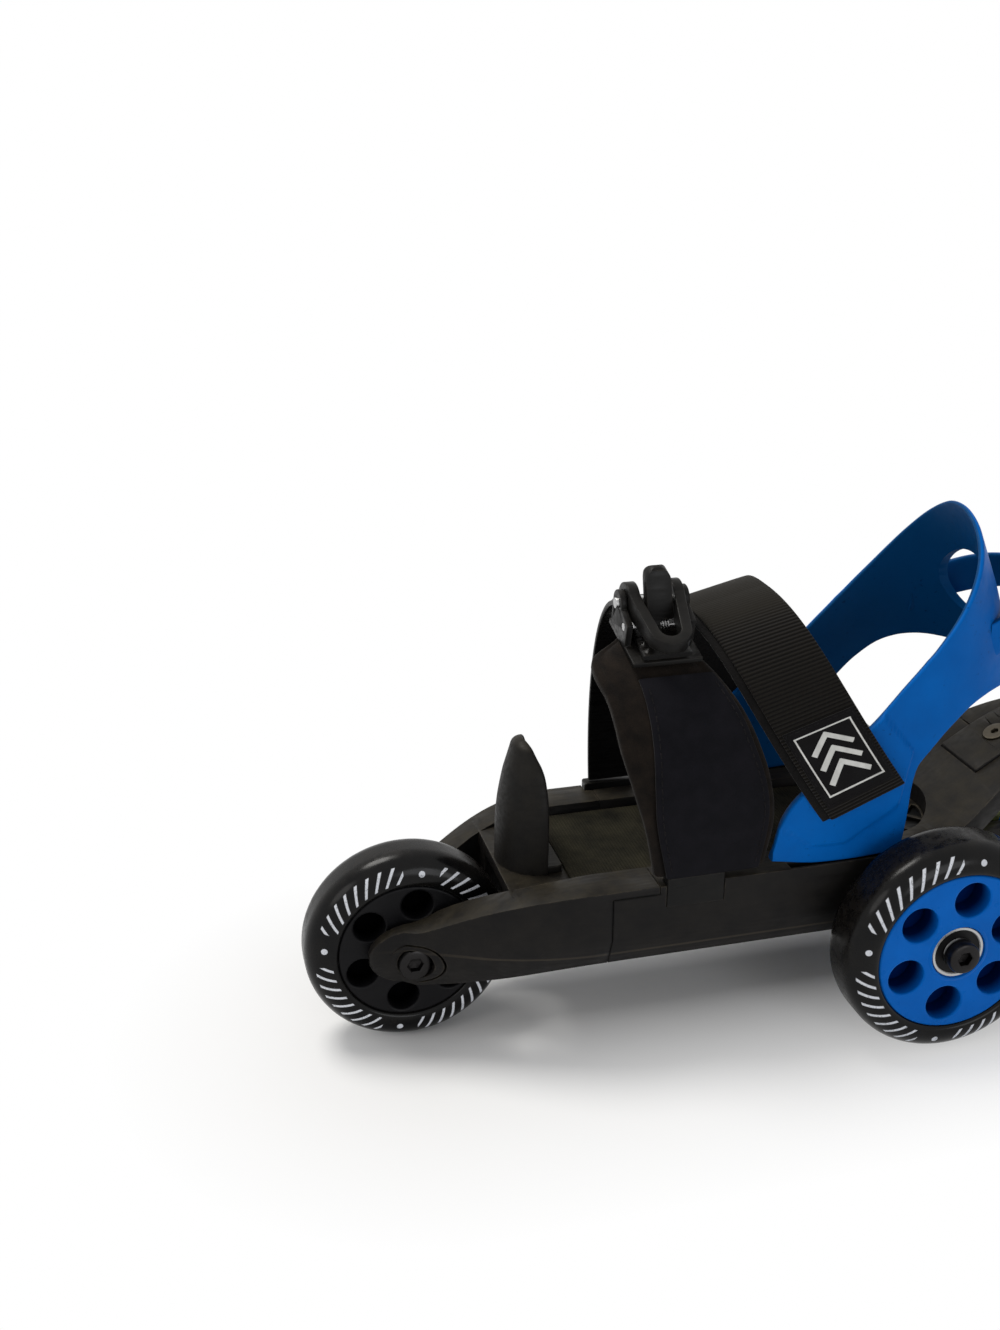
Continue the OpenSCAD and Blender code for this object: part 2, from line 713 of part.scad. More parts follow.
module fork_rails() {
    nose = [for (a = [78 : -13 : 13]) front_x - fork_nose * sin(a)];
    run = [for (k = [0 : 24]) front_x + (split_x - front_x) * k / 24];
    rings = [for (x = concat(nose, run)) rail_ring(x)];
    skin(rings);
    skin([for (r = rings) backwards(flip_y(r))]);
}

module oval(r) {
    polygon([for (k = [0 : 47]) [r * cos(7.5 * k), 0.83 * r * sin(7.5 * k)]]);
}

module front_chassis() color(BLACK) difference() {
    union() {
        fork_rails();
        translate([bridge_x, -deck_hw - 1, rail_bottom + 4])
            cube([split_x - bridge_x, deck_w + 2, deck_z - rail_bottom - 4]);
        difference() {
            along_x(split_x - eps, lip_end) platform_section(0);
            along_x(split_x, lip_end + 1) platform_section(lip_t);
        }
        translate([lip_end - 1, -deck_hw + slide_gap, deck_z - lip_t])
            cube([deck_end - lip_end + 1, deck_w - 2 * slide_gap, lip_t]);
        translate([split_x - 10, -tongue_w / 2, tongue_z]) cube([tongue_len + 10, tongue_w, tongue_t]);
    }
    translate([front_x, 0, front_r]) rod_y(front_r + 3, -fork_gap / 2 - 1, fork_gap / 2 + 1);
    translate([front_x, 0, front_r]) rod_y(bolt_r + run_gap, -fork_w, fork_w);
    both_sides() translate([front_x, 0, front_r])
        rod_y(bolt_head_d / 2 + head_gap, fork_w / 2 - front_head_sink, fork_w);
    both_sides() translate([front_x, 0, front_r]) along_y(fork_w / 2 - groove_deep, fork_w) difference() {
        oval(boss_r);
        oval(boss_r - groove_w);
    }
    lock_slot();
    lip_notch();
    post_screw_places() translate([0, 0, -post_screw_len])
        cylinder(r = post_screw_r + run_gap, h = post_screw_len + 1);
}

// Corner left out of the lip for the ladder strap's base tab, open to the back
module lip_notch() {
    translate([ladder_tab_x - tab_len / 2 - slide_gap, tab_y - slide_gap, tab_low - 1])
        cube([tab_len, rail_hw, rail_h]);
}

// Slot that the lock screw stands in, long enough for the travel
module lock_slot() {
    hw = lock_r + slide_gap;
    translate([lock_x, -hw, tongue_z - 1]) cube([length_travel, 2 * hw, tongue_t + 2]);
    for (x = [lock_x, lock_x + length_travel])
        translate([x, 0, tongue_z - 1]) cylinder(r = hw, h = tongue_t + 2);
}

// Toe post: curved blade, open to the back, on a flat foot
post_x = front_x + post_back;
post_foot = 3;
post_toe = 7;
post_screw_r = 1.75;
post_screw_len = 14;
// Rear edge, depth and half width by share of the height, as shares of the foot's depth and half width
post_rear = [[0, 0], [0.53, 0.03], [0.72, 0], [0.81, -0.05], [0.905, -0.175], [0.962, -0.235], [1, -0.27]];
post_deep = [[0, 1], [0.34, 0.99], [0.53, 0.93], [0.72, 0.78], [0.81, 0.65], [0.905, 0.44],
    [0.962, 0.33], [1, 0.25]];
post_half = [[0, 1], [0.34, 1], [0.53, 0.96], [0.72, 0.84], [0.81, 0.73], [0.905, 0.55],
    [0.962, 0.44], [1, 0.33]];
post_steps = [0, 0.17, 0.34, 0.45, 0.53, 0.63, 0.72, 0.77, 0.81, 0.86, 0.905, 0.935, 0.962, 0.985, 1];

// Arc of the blade's plan at a share of its height, moved inwards by a wall
function post_arc(v, wall) =
    let(x = post_x + post_depth * lookup(v, post_rear), d = post_depth * lookup(v, post_deep) - wall,
        w = post_r * lookup(v, post_half) - wall)
    [for (a = [-90 : 15 : 90]) [x - d * cos(a), w * sin(a)]];
function post_ring(v) = let(wall = min(post_wall, 0.6 * post_depth * lookup(v, post_deep)))
    [for (q = concat(post_arc(v, 0), backwards(post_arc(v, wall)))) [q[0], q[1], deck_z + post_h * v]];

module post_screw_places() {
    for (s = [-1, 1])
        translate([post_x - post_r * 0.15, s * post_r * 0.32, deck_z]) children();
}

module toe_post() color(BLACK) difference() {
    union() {
        skin([for (v = post_steps) post_ring(v)]);
        translate([0, 0, deck_z]) linear_extrude(post_foot) {
            polygon(post_arc(0, 1));
            pad_area(post_x - post_toe, post_x + post_toe, post_r - 1);
        }
    }
    post_screw_places() translate([0, 0, -1]) cylinder(r = post_screw_r + run_gap, h = post_foot + 2);
}

module post_screws() color(STEEL) post_screw_places() {
    translate([0, 0, post_foot - post_screw_len]) cylinder(r = post_screw_r, h = post_screw_len);
    translate([0, 0, post_foot]) cylinder(r1 = post_screw_r + 1.3, r2 = post_screw_r + 0.6, h = 1.2);
}

// Grip pads on the deck
module pad_area(x0, x1, hw) {
    corner = 5;
    translate([x0 + corner, -hw]) square([x1 - x0 - 2 * corner, 2 * hw]);
    translate([x0, -hw + corner]) square([x1 - x0, 2 * hw - 2 * corner]);
    for (x = [x0 + corner, x1 - corner], y = [corner - hw, hw - corner])
        translate([x, y]) circle(r = corner);
}

module front_grip_pad() color(SOFT_BLACK)
    translate([0, 0, deck_z]) linear_extrude(pad_t)
        pad_area(post_x + post_toe + 1, deck_end - 0.5, deck_hw - pad_side);

module rear_grip_pad() color(SOFT_BLACK)
    translate([0, 0, deck_z]) linear_extrude(pad_t) pad_area(deck_end + 1, pocket_x + 2, deck_hw - pad_side);

// Front wheel
module front_tyre() color(SOFT_BLACK)
    translate([front_x, 0, front_r]) tyre(front_r, front_tyre_w, front_hub_d / 2);
module front_hub() color(BLACK) translate([front_x, 0, front_r]) hub(front_hub_d / 2, front_tyre_w)
    ring_of_holes(hub_holes, hub_hole_ring(front_hub_d),
        min(hub_hole_r, (front_hub_d - bearing_od) / 4 - front_hub_web), front_tyre_w);
module front_bearings() color(STEEL) translate([front_x, 0, front_r]) bearing_pair(front_tyre_w);
module front_spacers() color(STEEL) translate([front_x, 0, front_r]) {
    bearing_tube(front_tyre_w);
    both_sides() collar(front_tyre_w, fork_gap / 2 + 0.9);
}
module front_axle_bolt() color(BLACK)
    translate([front_x, 0, front_r]) socket_bolt(-fork_w / 2 + 2.5, fork_w / 2 - 0.5);
module front_axle_nut() color(STEEL)
    translate([front_x, 0, front_r]) hex_nut(fork_w / 2 - 2.4, fork_w / 2 + 1);

// Side wheels, made on the right and mirrored for the left
module at_side(s) mirror([0, s < 0 ? 1 : 0, 0]) translate([side_x, track / 2, side_r]) children();
module side_tyre(s) color(SOFT_BLACK) at_side(s) tyre(side_r, side_tyre_w, side_hub_d / 2);
module side_hub(s) color(BLUE) at_side(s) hub(side_hub_d / 2, side_tyre_w)
    ring_of_holes(hub_holes, hub_hole_ring(side_hub_d),
        min(hub_hole_r, (side_hub_d - bearing_od) / 4 - side_hub_web), side_tyre_w);
module side_bearings(s) color(STEEL) at_side(s) bearing_pair(side_tyre_w);
module side_spacers(s) color(STEEL) at_side(s) {
    bearing_tube(side_tyre_w);
    collar(side_tyre_w, side_tyre_w / 2 - hub_inset - bearing_sink + face_gap + washer_t);
}
module side_axle_bolt(s) color(BLACK) at_side(s) {
    seat = side_tyre_w / 2 - hub_inset - bearing_sink + face_gap + washer_t;
    mirror([0, 1, 0]) socket_bolt(-seat, track / 2 - rail_hw + 20);
}
module left_tyre() side_tyre(-1);
module left_hub() side_hub(-1);
module left_bearings() side_bearings(-1);
module left_spacers() side_spacers(-1);
module left_axle_bolt() side_axle_bolt(-1);
module right_tyre() side_tyre(1);
module right_hub() side_hub(1);
module right_bearings() side_bearings(1);
module right_spacers() side_spacers(1);
module right_axle_bolt() side_axle_bolt(1);

// Rear brake wheel
disc_r = 9.6;
module rear_tyre() color(SMOKE) translate([rear_x, 0, rear_z]) tyre(rear_r, rear_tyre_w, rear_hub_d / 2);
module rear_hub() color(BLUE) translate([rear_x, 0, rear_z]) hub(rear_hub_d / 2, rear_tyre_w) {
    ring_of_holes(rear_holes, rear_hub_d / 2 - 4.6, 2.6, rear_tyre_w);
    rotate([0, 180 / rear_holes, 0]) ring_of_holes(rear_holes, rear_hub_d / 2 - 10.6, 2.2, rear_tyre_w);
}
module rear_bearings() color(STEEL) translate([rear_x, 0, rear_z]) bearing_pair(rear_tyre_w);
module rear_spacers() color(STEEL) translate([rear_x, 0, rear_z]) bearing_tube(rear_tyre_w);
// Friction discs that drag on the bearing faces
module brake_discs() color("#7a5a3a") translate([rear_x, 0, rear_z]) both_sides() difference() {
    rod_y(disc_r, rear_tyre_w / 2 - hub_inset - bearing_sink + face_gap, rear_fork_gap / 2);
    rod_y(bolt_r + run_gap, 0, rear_fork_w);
}
module rear_axle_bolt() color(BLACK)
    translate([rear_x, 0, rear_z]) socket_bolt(-rear_fork_w / 2 + 2, rear_fork_w / 2 - 0.5);
module rear_axle_nut() color(STEEL)
    translate([rear_x, 0, rear_z]) hex_nut(rear_fork_w / 2 - 1.9, rear_fork_w / 2 + 1.5);

// Brake fender: the end of the tail with a turned-out lip
module brake_fender() color(BLACK) difference() {
    union() {
        tail_shell(fender_x + split_gap, tail_end);
        along_y(-tail_end_hw - 1.5, tail_end_hw + 1.5) polygon([
            [tail_end - 2, platform_top + tail_rise - tail_wall], [tail_end - 2, platform_top + tail_rise],
            [tail_end + lip_out, platform_top + tail_rise - lip_drop],
            [tail_end + lip_out, platform_top + tail_rise - lip_drop - 3]]);
    }
    key_recess(0.2);
    on_key() translate([0, 0, -20]) cylinder(r = key_bolt_r + run_gap, h = 40);
}

// Frame of the key bolt: on the tail's top line, square to it
module on_key() {
    t = bez_at(tail_line, key_bolt_x);
    p = bez(tail_line, t);
    translate([p[0], 0, p[1]]) rotate([0, -bez_angle(tail_line, t), 0]) children();
}

module fender_key() color(BLACK) difference() {
    along_y(-key_w / 2, key_w / 2) tail_side_area(key_proud, -key_sink, key_x, key_end);
    on_key() translate([0, 0, -20]) cylinder(r = key_bolt_r + run_gap, h = 40);
    on_key() translate([0, 0, key_proud - key_head_t - 0.2]) cylinder(r = key_head_r + 0.2, h = 10);
}

module fender_bolt() color("#9a8c78") on_key() difference() {
    union() {
        translate([0, 0, key_proud - key_head_t]) cylinder(r = key_head_r, h = key_head_t + 0.3);
        translate([0, 0, key_proud - key_bolt_len]) cylinder(r = key_bolt_r, h = key_bolt_len - 1);
    }
    translate([0, 0, key_proud - 1.4]) cylinder(r = 1.8, h = 3, $fn = 6);
}

// Heel cup: a wall on a U-shaped plan between a lower and an upper edge line
// Edges as [share along the straight part, then 1 to 2 round the heel; share of the cup's height]
cup_upper = [[0, 0.063], [0.05, 0.165], [0.21, 0.255], [0.65, 0.437], [0.85, 0.538], [1, 0.614],
    [1.1, 0.678], [1.2, 0.738], [1.3, 0.794], [1.4, 0.844], [1.5, 0.887], [1.6, 0.924], [1.7, 0.954],
    [1.8, 0.978], [1.9, 0.995], [2, 1]];
cup_lower = [[0, 0.024], [0.33, 0], [0.82, 0.004], [0.885, 0.02], [0.905, 0.08], [0.925, 0.2], [0.957, 0.27],
    [1, 0.302], [1.1, 0.385], [1.2, 0.441], [1.3, 0.469], [1.4, 0.48], [1.5, 0.48], [1.65, 0.468],
    [1.8, 0.441], [1.9, 0.42], [2, 0.412]];
// How much thinner the wall is at its upper edge
cup_thin = 1.8;

function cup_share(s) = s < cup_straight ? s / cup_straight : 1 + (s - cup_straight) / cup_arc;
function cup_edge(edge, s) = cup_rise * lookup(cup_share(s), edge);

function cup_reach(z) = cup_back - cup_lean * max(0, z - cup_lean_z);
function cup_half(z) = cup_hw - cup_narrow * max(0, z - cup_narrow_z);
// Plan point at distance s from the left front end, at height z, moved inwards by d
function cup_point(s, z, d) = s < cup_straight ? [cup_front + s, -cup_half(z) + d, z]
    : let(a = 90 * (s - cup_straight) / cup_arc, r = cup_reach(z) - cup_mid)
      [cup_mid + (r - d) * sin(a), -(cup_half(z) - d) * cos(a), z];
function cup_column(s) =
    let(z0 = cup_base + cup_edge(cup_lower, s), z1 = platform_top + cup_edge(cup_upper, s), n = 7)
    concat([for (k = [0 : n]) cup_point(s, z0 + (z1 - z0) * k / n, 0)],
           [for (k = [n : -1 : 0]) cup_point(s, z0 + (z1 - z0) * k / n, cup_wall - cup_thin * k / n)]);
function flip_y(points) = [for (q = points) [q[0], -q[1], q[2]]];

// Pull loop: a strip on edge, from one side wall round behind the cup to the other, rising to the back
loop_z = cup_hole_z - 8.5;
loop_rise = 14;
loop_back = 19;
loop_lean = 0.5;
loop_turn = 93;
loop_hw = 30.5;
loop_x = cup_mid + (cup_reach(loop_z) - cup_mid) * sin(acos(loop_hw / cup_half(loop_z))) - cup_wall / 2;
loop_deep = cup_reach(loop_z + loop_rise) + loop_back - loop_x;
// Point of the loop at an angle round it, at a height over its middle line and a depth outwards from it
function loop_point(a, up, out) =
    let(run = norm([cos(a) * loop_hw, sin(a) * loop_deep]))
    [loop_x + loop_deep * cos(a) + out * cos(a) * loop_hw / run - up * loop_lean * cos(a),
     loop_hw * sin(a) + out * sin(a) * loop_deep / run,
     loop_z + loop_rise * cos(a) + up];

module heel_cup() color(BLUE) difference() {
    union() {
        difference() {
            steep = 0.85 * cup_straight;
            round = 1.1 * cup_straight;
            steps = concat([for (k = [0 : 19]) steep * k / 20],
                [for (k = [0 : 11]) steep + (round - steep) * k / 12],
                [for (k = [0 : 16]) round + (cup_run - round) * k / 16]);
            left = [for (s = steps) cup_column(s)];
            right = [for (i = [len(steps) - 2 : -1 : 0]) flip_y(left[i])];
            skin(concat(left, right));
            translate([0, 0, cup_hole_z]) along_x(cup_mid, cup_back + 1)
                polygon([for (a = [0 : 5 : 355]) [cup_hole_hw * cos(a), cup_hole_hh * sin(a)]]);
        }
        skin([for (k = [0 : 24])
            [for (q = backwards(band_ring(0, 0, 0, 0, loop_w / 2, loop_t / 2, 12)))
                loop_point(loop_turn * (k / 12 - 1), q[0], q[2])]]);
        both_sides() cup_foot();
    }
    both_sides() cup_screw_places() translate([0, 0, -1])
        cylinder(r = cup_screw_r + run_gap, h = cup_flange_t + 2);
}

// Foot of the cup's wall that stands in a slot of the rail, with a flange under the rail's roof
module cup_foot() {
    translate([cup_foot_x, 0, platform_top - cup_foot_depth]) {
        translate([0, cup_hw - cup_wall, 0]) cube([cup_foot_len, cup_wall, cup_foot_depth + 6]);
        translate([0, cup_flange_in, 0]) cube([cup_foot_len, cup_hw - cup_flange_in - 1, cup_flange_t]);
    }
}

module heel_cup_screws() color(STEEL) both_sides() cup_screw_places() {
    cylinder(r = cup_screw_r, h = cup_flange_t + cup_screw_bite);
    translate([0, 0, -cup_screw_head_t]) cylinder(r = cup_screw_head_r, h = cup_screw_head_t);
}

// Instep strap with its label patch
// Share of the strap's rise at height z, and the x of its middle line there
function instep_rise(z) = (z - instep_foot_z) / (instep_top_z - instep_foot_z);
function instep_x(z) = let(u = instep_rise(z))
    instep_foot_x + (instep_top_x - instep_foot_x) * u * (1 + instep_curve - instep_curve * u);
// Band section whose rear edge stands higher than its front edge
function instep_ring(t, hw, ht, lift) =
    let(p = bez(instep_path, t), a = bez_angle(instep_path, t),
        y = p[0] - lift * sin(a), z = p[1] + lift * cos(a),
        lean = instep_lean[0] + (instep_lean[1] - instep_lean[0]) * instep_rise(p[1]))
    [for (q = band_ring(0, y, z, a, hw, ht, 12))
        [instep_x(q[2]) + q[0] * cos(lean), q[1], q[2] + q[0] * sin(lean)]];

module instep_strap() color(SOFT_BLACK) {
    half = [for (k = [0 : 20]) instep_ring(k / 20, instep_w / 2, instep_t / 2, 0)];
    other = [for (k = [19 : -1 : 0]) flip_y(half[k])];
    skin(concat(half, other));
}

module strap_label() color(BLACK)
    skin([for (k = [0 : 6])
        let(t = label_ends[0] + (label_ends[1] - label_ends[0]) * k / 6)
        instep_ring(t, instep_w / 2 - 1.5, label_t / 2, instep_t / 2 + label_t / 2 + layer_gap)]);

// Toe strap
function cuff_ring(t, front, rear, ht, lift) =
    let(p = bez(cuff_path, t), a = bez_angle(cuff_path, t), x0 = lookup(t, front), x1 = lookup(t, rear))
    band_ring(cuff_x + (x0 + x1) / 2, p[0] - lift * sin(a), p[1] + lift * cos(a), a, (x1 - x0) / 2, ht, 16);

module toe_cuff() color(SOFT_BLACK)
    skin([for (k = [0 : 24]) cuff_ring(k / 24, cuff_front, cuff_rear, cuff_t / 2, 0)]);

module cuff_overlay() color(BLACK)
    skin([for (k = [0 : 18])
        cuff_ring(overlay_end * k / 18, overlay_front, overlay_rear, overlay_t / 2, overlay_lift)]);

module strap_tab(x, side) color(BLACK) difference() {
    y0 = side > 0 ? tab_y : -rail_hw - 0.4;
    translate([x - tab_len / 2, y0, tab_low]) cube([tab_len, rail_hw + 0.4 - tab_y, tab_high - tab_low]);
    pin_bore(x, side, tab_pin_r + run_gap);
}
module cuff_tab() strap_tab(cuff_tab_x, -1);
module ladder_tab() strap_tab(ladder_tab_x, 1);
module tab_pins() color(STEEL) {
    pin_bore(cuff_tab_x, -1, tab_pin_r);
    pin_bore(ladder_tab_x, 1, tab_pin_r);
}

// Ladder strap with saw teeth on its outer side, straight inside the buckle and curved to the right rail
function ladder_ring(p, a, x, extra) = band_ring(x, p[0] - extra / 2 * sin(a), p[1] + extra / 2 * cos(a), a,
    ladder_w / 2, ladder_t / 2 + extra / 2, 8);
function tooth_height(k) = k % 3 == 2 ? ladder_tooth_h : (k % 3 == 1 ? 0.5 * ladder_tooth_h : 0);

module ladder_strap() color(BLACK) {
    n = 3 * ladder_teeth;
    smooth = 10;
    inside = [for (k = [0 : 3]) ladder_ring(ladder_start + (ladder_bend - ladder_start) * k / 4, buckle_slope,
        buckle_x, 0)];
    toothed = [for (k = [0 : n])
        let(t = 0.72 * k / n)
        ladder_ring(bez(ladder_path, t), bez_angle(ladder_path, t), bow(ladder_centre, t), tooth_height(k))];
    lower = [for (k = [1 : smooth])
        let(t = 0.72 + 0.28 * k / smooth)
        ladder_ring(bez(ladder_path, t), bez_angle(ladder_path, t), bow(ladder_centre, t), 0)];
    skin(concat(inside, toothed, lower));
}

// Buckle
module on_buckle() {
    translate([buckle_x, buckle_at[0], buckle_at[1]]) rotate([buckle_slope, 0, 0])
        translate([0, 0, buckle_lift]) children();
}

module buckle_base() color(BLACK) on_buckle() difference() {
    union() {
        translate([-buckle_w / 2, plate_low, 0]) cube([buckle_w, plate_high - plate_low, plate_t]);
        for (s = [-1, 1])
            translate([s > 0 ? cheek_in : -buckle_w / 2, 0, 0]) cheek();
    }
    translate([0, pin_y, pin_z]) rod_x(pin_r + run_gap, -buckle_w, buckle_w);
    translate([0, pawl_pin_y, pawl_pin_z]) rod_x(pawl_pin_r + run_gap, -buckle_w, buckle_w);
}

// Cheek plate with a round head about the lever pin
module cheek() {
    head_r = cheek_high - pin_y;
    along_x(0, cheek_t) {
        polygon([[cheek_low, plate_t - eps], [cheek_low, pawl_pin_z + 3], [pin_y - head_r, pin_z],
            [cheek_high, pin_z], [cheek_high - 1, plate_t - eps]]);
        translate([pin_y, pin_z]) circle(r = head_r);
    }
}

module buckle_pin() color(STEEL) on_buckle()
    translate([0, pin_y, pin_z]) rod_x(pin_r, -buckle_w / 2 - 1, buckle_w / 2 + 1);

// Outline of the lever's loop seen from above, or of its opening when inset by the arm's width
module lever_plan(inset) {
    start = lever_arm_out - inset;
    end = lever_end_r - inset;
    end_y = lever_end_r - lever_len;
    back_y = lever_boss_r + inset;
    bend_y = -lever_boss_r / 2;
    round_end = [for (a = [0 : -12 : -180]) [end * cos(a), end_y + end * sin(a)]];
    polygon(concat([[-start, back_y], [start, back_y], [start, bend_y]], round_end, [[-start, bend_y]]));
}

module on_lever() {
    translate([0, pin_y, pin_z]) rotate([lever_tilt, 0, 0]) children();
}

// Lever: loop that points down the strap from round bosses on its pin
module buckle_lever() color(BLACK) on_buckle() on_lever() difference() {
    intersection() {
        translate([0, 0, -lever_len]) linear_extrude(2 * lever_len) lever_plan(0);
        along_x(-buckle_w, buckle_w) {
            circle(r = lever_boss_r);
            polygon([[0, lever_boss_r], [-lever_boss_r, lever_boss_r - 2], [-lever_len, lever_end_t / 2],
                [-lever_len, -lever_end_t / 2], [0, -lever_end_t / 2]]);
        }
    }
    translate([0, 0, -lever_len]) linear_extrude(2 * lever_len) lever_plan(lever_arm_w);
    rod_x(pin_r + run_gap, -buckle_w, buckle_w);
}

module pawl_pin() color(STEEL) on_buckle()
    translate([0, pawl_pin_y, pawl_pin_z]) rod_x(pawl_pin_r, -buckle_w / 2, buckle_w / 2);

// Pawl: tooth below its pin, and a blade that stands up through the lever's opening as a thumb tab
module buckle_pawl() color(BLACK) on_buckle() difference() {
    tip_y = pin_y + 0.5;
    tip_z = pin_z + 13.5;
    blade = [[pawl_pin_y - pawl_neck / 2, pawl_pin_z], [pawl_pin_y + pawl_neck / 2, pawl_pin_z],
        [pawl_pin_y + pawl_neck, pin_z], [tip_y + 1, tip_z], [tip_y - 3, tip_z + 1.2],
        [pawl_pin_y - 1, pin_z + 1]];
    tooth = [[pawl_pin_y - 2.4, pawl_pin_z + 1], [pawl_pin_y - 4, tooth_tip + 0.6],
        [pawl_pin_y - 2.6, tooth_tip], [pawl_pin_y + 1, pawl_pin_z - 1]];
    union() {
        translate([0, pawl_pin_y, pawl_pin_z]) rod_x(pawl_barrel_r, -pawl_hw, pawl_hw);
        intersection() {
            along_x(-pawl_hw, pawl_hw) {
                polygon(blade);
                translate([tip_y - 1, tip_z]) circle(r = 2);
            }
            along_y(-pin_z, 2 * pin_z) {
                translate([-pawl_hw, 0]) square([2 * pawl_hw, tip_z + 2 - pawl_hw]);
                translate([0, tip_z + 2 - pawl_hw]) circle(r = pawl_hw);
            }
        }
        along_x(1 - pawl_hw, pawl_hw - 1) polygon(tooth);
    }
    translate([0, pawl_pin_y, pawl_pin_z]) rod_x(pawl_pin_r + run_gap, -buckle_w, buckle_w);
    translate([pawl_hw - spring_room, pawl_pin_y - 5, pawl_pin_z - 5])
        cube([spring_room + 1, 10, 5 + spring_clear]);
}

// Coil spring on the pawl's pin, one unbroken wire beside the pawl
module pawl_spring() color(STEEL) on_buckle() {
    steps = 8 * spring_turns;
    start = pawl_hw - spring_room + slide_gap;
    skin([for (i = [0 : steps])
        let(a = 45 * i, x = start + spring_wire_r + spring_pitch * i / 8)
        [for (k = [5 : -1 : 0])
            let(r = spring_r + spring_wire_r * cos(60 * k))
            [x + spring_wire_r * sin(60 * k), pawl_pin_y + r * cos(a), pawl_pin_z + r * sin(a)]]]);
}

rear_chassis();
front_chassis();
toe_post();
post_screws();
front_grip_pad();
rear_grip_pad();
length_lock_screw();
front_tyre();
front_hub();
front_bearings();
front_spacers();
front_axle_bolt();
front_axle_nut();
left_tyre();
left_hub();
left_bearings();
left_spacers();
left_axle_bolt();
right_tyre();
right_hub();
right_bearings();
right_spacers();
right_axle_bolt();
rear_tyre();
rear_hub();
rear_bearings();
rear_spacers();
rear_axle_bolt();
rear_axle_nut();
brake_discs();
brake_fender();
fender_key();
fender_bolt();
heel_cup();
heel_cup_screws();
instep_strap();
strap_label();
toe_cuff();
cuff_overlay();
cuff_tab();
ladder_strap();
ladder_tab();
tab_pins();
buckle_base();
buckle_lever();
buckle_pin();
buckle_pawl();
pawl_pin();
pawl_spring();
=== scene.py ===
"""Looks of a strap-on platform roller skate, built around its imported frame.

Lengths are millimetres until a mesh is made, and metres in Blender.
The toe points to -X, the left side to -Y, and +Z is up.
"""

import json
import math
from math import cos, radians, sin

import bmesh
import bpy
from mathutils import Matrix, Vector

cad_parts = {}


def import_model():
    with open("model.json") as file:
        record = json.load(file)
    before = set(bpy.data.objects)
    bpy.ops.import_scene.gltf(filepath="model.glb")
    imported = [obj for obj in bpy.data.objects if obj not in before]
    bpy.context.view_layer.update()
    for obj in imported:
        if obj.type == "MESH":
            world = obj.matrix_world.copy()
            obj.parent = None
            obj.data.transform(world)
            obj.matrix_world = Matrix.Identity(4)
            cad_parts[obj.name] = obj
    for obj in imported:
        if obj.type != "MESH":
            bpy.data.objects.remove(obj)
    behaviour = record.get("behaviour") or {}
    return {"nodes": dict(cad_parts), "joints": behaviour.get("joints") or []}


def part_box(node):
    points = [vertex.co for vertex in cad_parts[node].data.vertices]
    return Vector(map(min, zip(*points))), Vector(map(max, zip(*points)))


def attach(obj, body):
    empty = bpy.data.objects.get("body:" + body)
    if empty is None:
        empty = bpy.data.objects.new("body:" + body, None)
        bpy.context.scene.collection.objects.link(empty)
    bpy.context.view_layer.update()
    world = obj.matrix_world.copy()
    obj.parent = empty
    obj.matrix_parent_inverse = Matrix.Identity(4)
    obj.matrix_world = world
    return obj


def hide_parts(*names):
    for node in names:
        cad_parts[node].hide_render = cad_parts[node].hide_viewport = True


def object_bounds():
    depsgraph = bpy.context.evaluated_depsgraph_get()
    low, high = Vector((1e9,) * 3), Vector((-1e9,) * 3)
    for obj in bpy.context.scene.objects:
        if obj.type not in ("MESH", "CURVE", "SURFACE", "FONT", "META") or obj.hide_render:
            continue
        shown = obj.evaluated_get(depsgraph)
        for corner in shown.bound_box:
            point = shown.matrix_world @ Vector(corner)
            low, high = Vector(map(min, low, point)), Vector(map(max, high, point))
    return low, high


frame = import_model()
cad_low, cad_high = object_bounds()

MM = 0.001


# Sizes and places that several pieces share


def node_box(name):
    low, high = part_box(name)
    return low / MM, high / MM


def node_size(name):
    low, high = node_box(name)
    return high - low


def hub_radius(prefix):
    return node_size(prefix + "_hub").x / 2


JOINTS = {joint["name"]: joint for joint in frame["joints"]}
AXLES = {prefix: Vector(JOINTS[prefix + "_wheel_spin"]["pos_m"]) / MM
         for prefix in ("left", "right", "front", "rear")}
SIDE_X = AXLES["left"].x
PLATFORM_TOP = 75.5
TAB_TOP = PLATFORM_TOP + 3
RAIL_HW = node_size("front_chassis").y / 2
DECK_Z = node_box("rear_grip_pad")[0].z
CUP_MID = SIDE_X - 6
# Joint between the two frames on the rails
SPLIT_X = SIDE_X - 131.4
LIP_END = SPLIT_X + 18.5
LIP_Z = 72.35
SEAM_REACH = 0.75
# Painted highlight line along the rails
HIGHLIGHT_LINE_Z = 47.0
HIGHLIGHT_LINE_REACH = 0.7
HIGHLIGHT_LINE_MIDDLE = -46.0
HIGHLIGHT_LINE_HALF = 110.0
# Round pocket in the deck behind the grip pad
POCKET_X = SIDE_X - 11
POCKET_R = node_size("rear_grip_pad").y / 2 + 1.5
POCKET_START = node_box("rear_grip_pad")[1].x + 0.6


# Curves and lists of points


def between(start, end, count):
    """Values from start to end in even steps, both ends included."""
    return [start + (end - start) * k / count for k in range(count + 1)]


def turns(count, start=0.0):
    """Angles spaced evenly round a circle."""
    return [math.tau * (k + start) / count for k in range(count)]


def angles(start, end, count):
    """Angles from start to end in even steps, given in degrees."""
    return [radians(a) for a in between(start, end, count)]


def arc(centre, radius, start, end, count):
    return [(centre[0] + radius * cos(a), centre[1] + radius * sin(a))
            for a in angles(start, end, count)]


def circle(radius, count, centre=(0.0, 0.0), start=0.0):
    return arc(centre, radius, start, start + 360, count)[:-1]


def pairs(points):
    """Each point of a closed line with the next one."""
    return list(zip(points, points[1:] + points[:1]))


def bezier(points, t):
    weights = ((1 - t) ** 3, 3 * (1 - t) ** 2 * t, 3 * (1 - t) * t * t, t**3)
    return sum((w * Vector(p) for w, p in zip(weights, points)), Vector((0.0,) * len(points[0])))


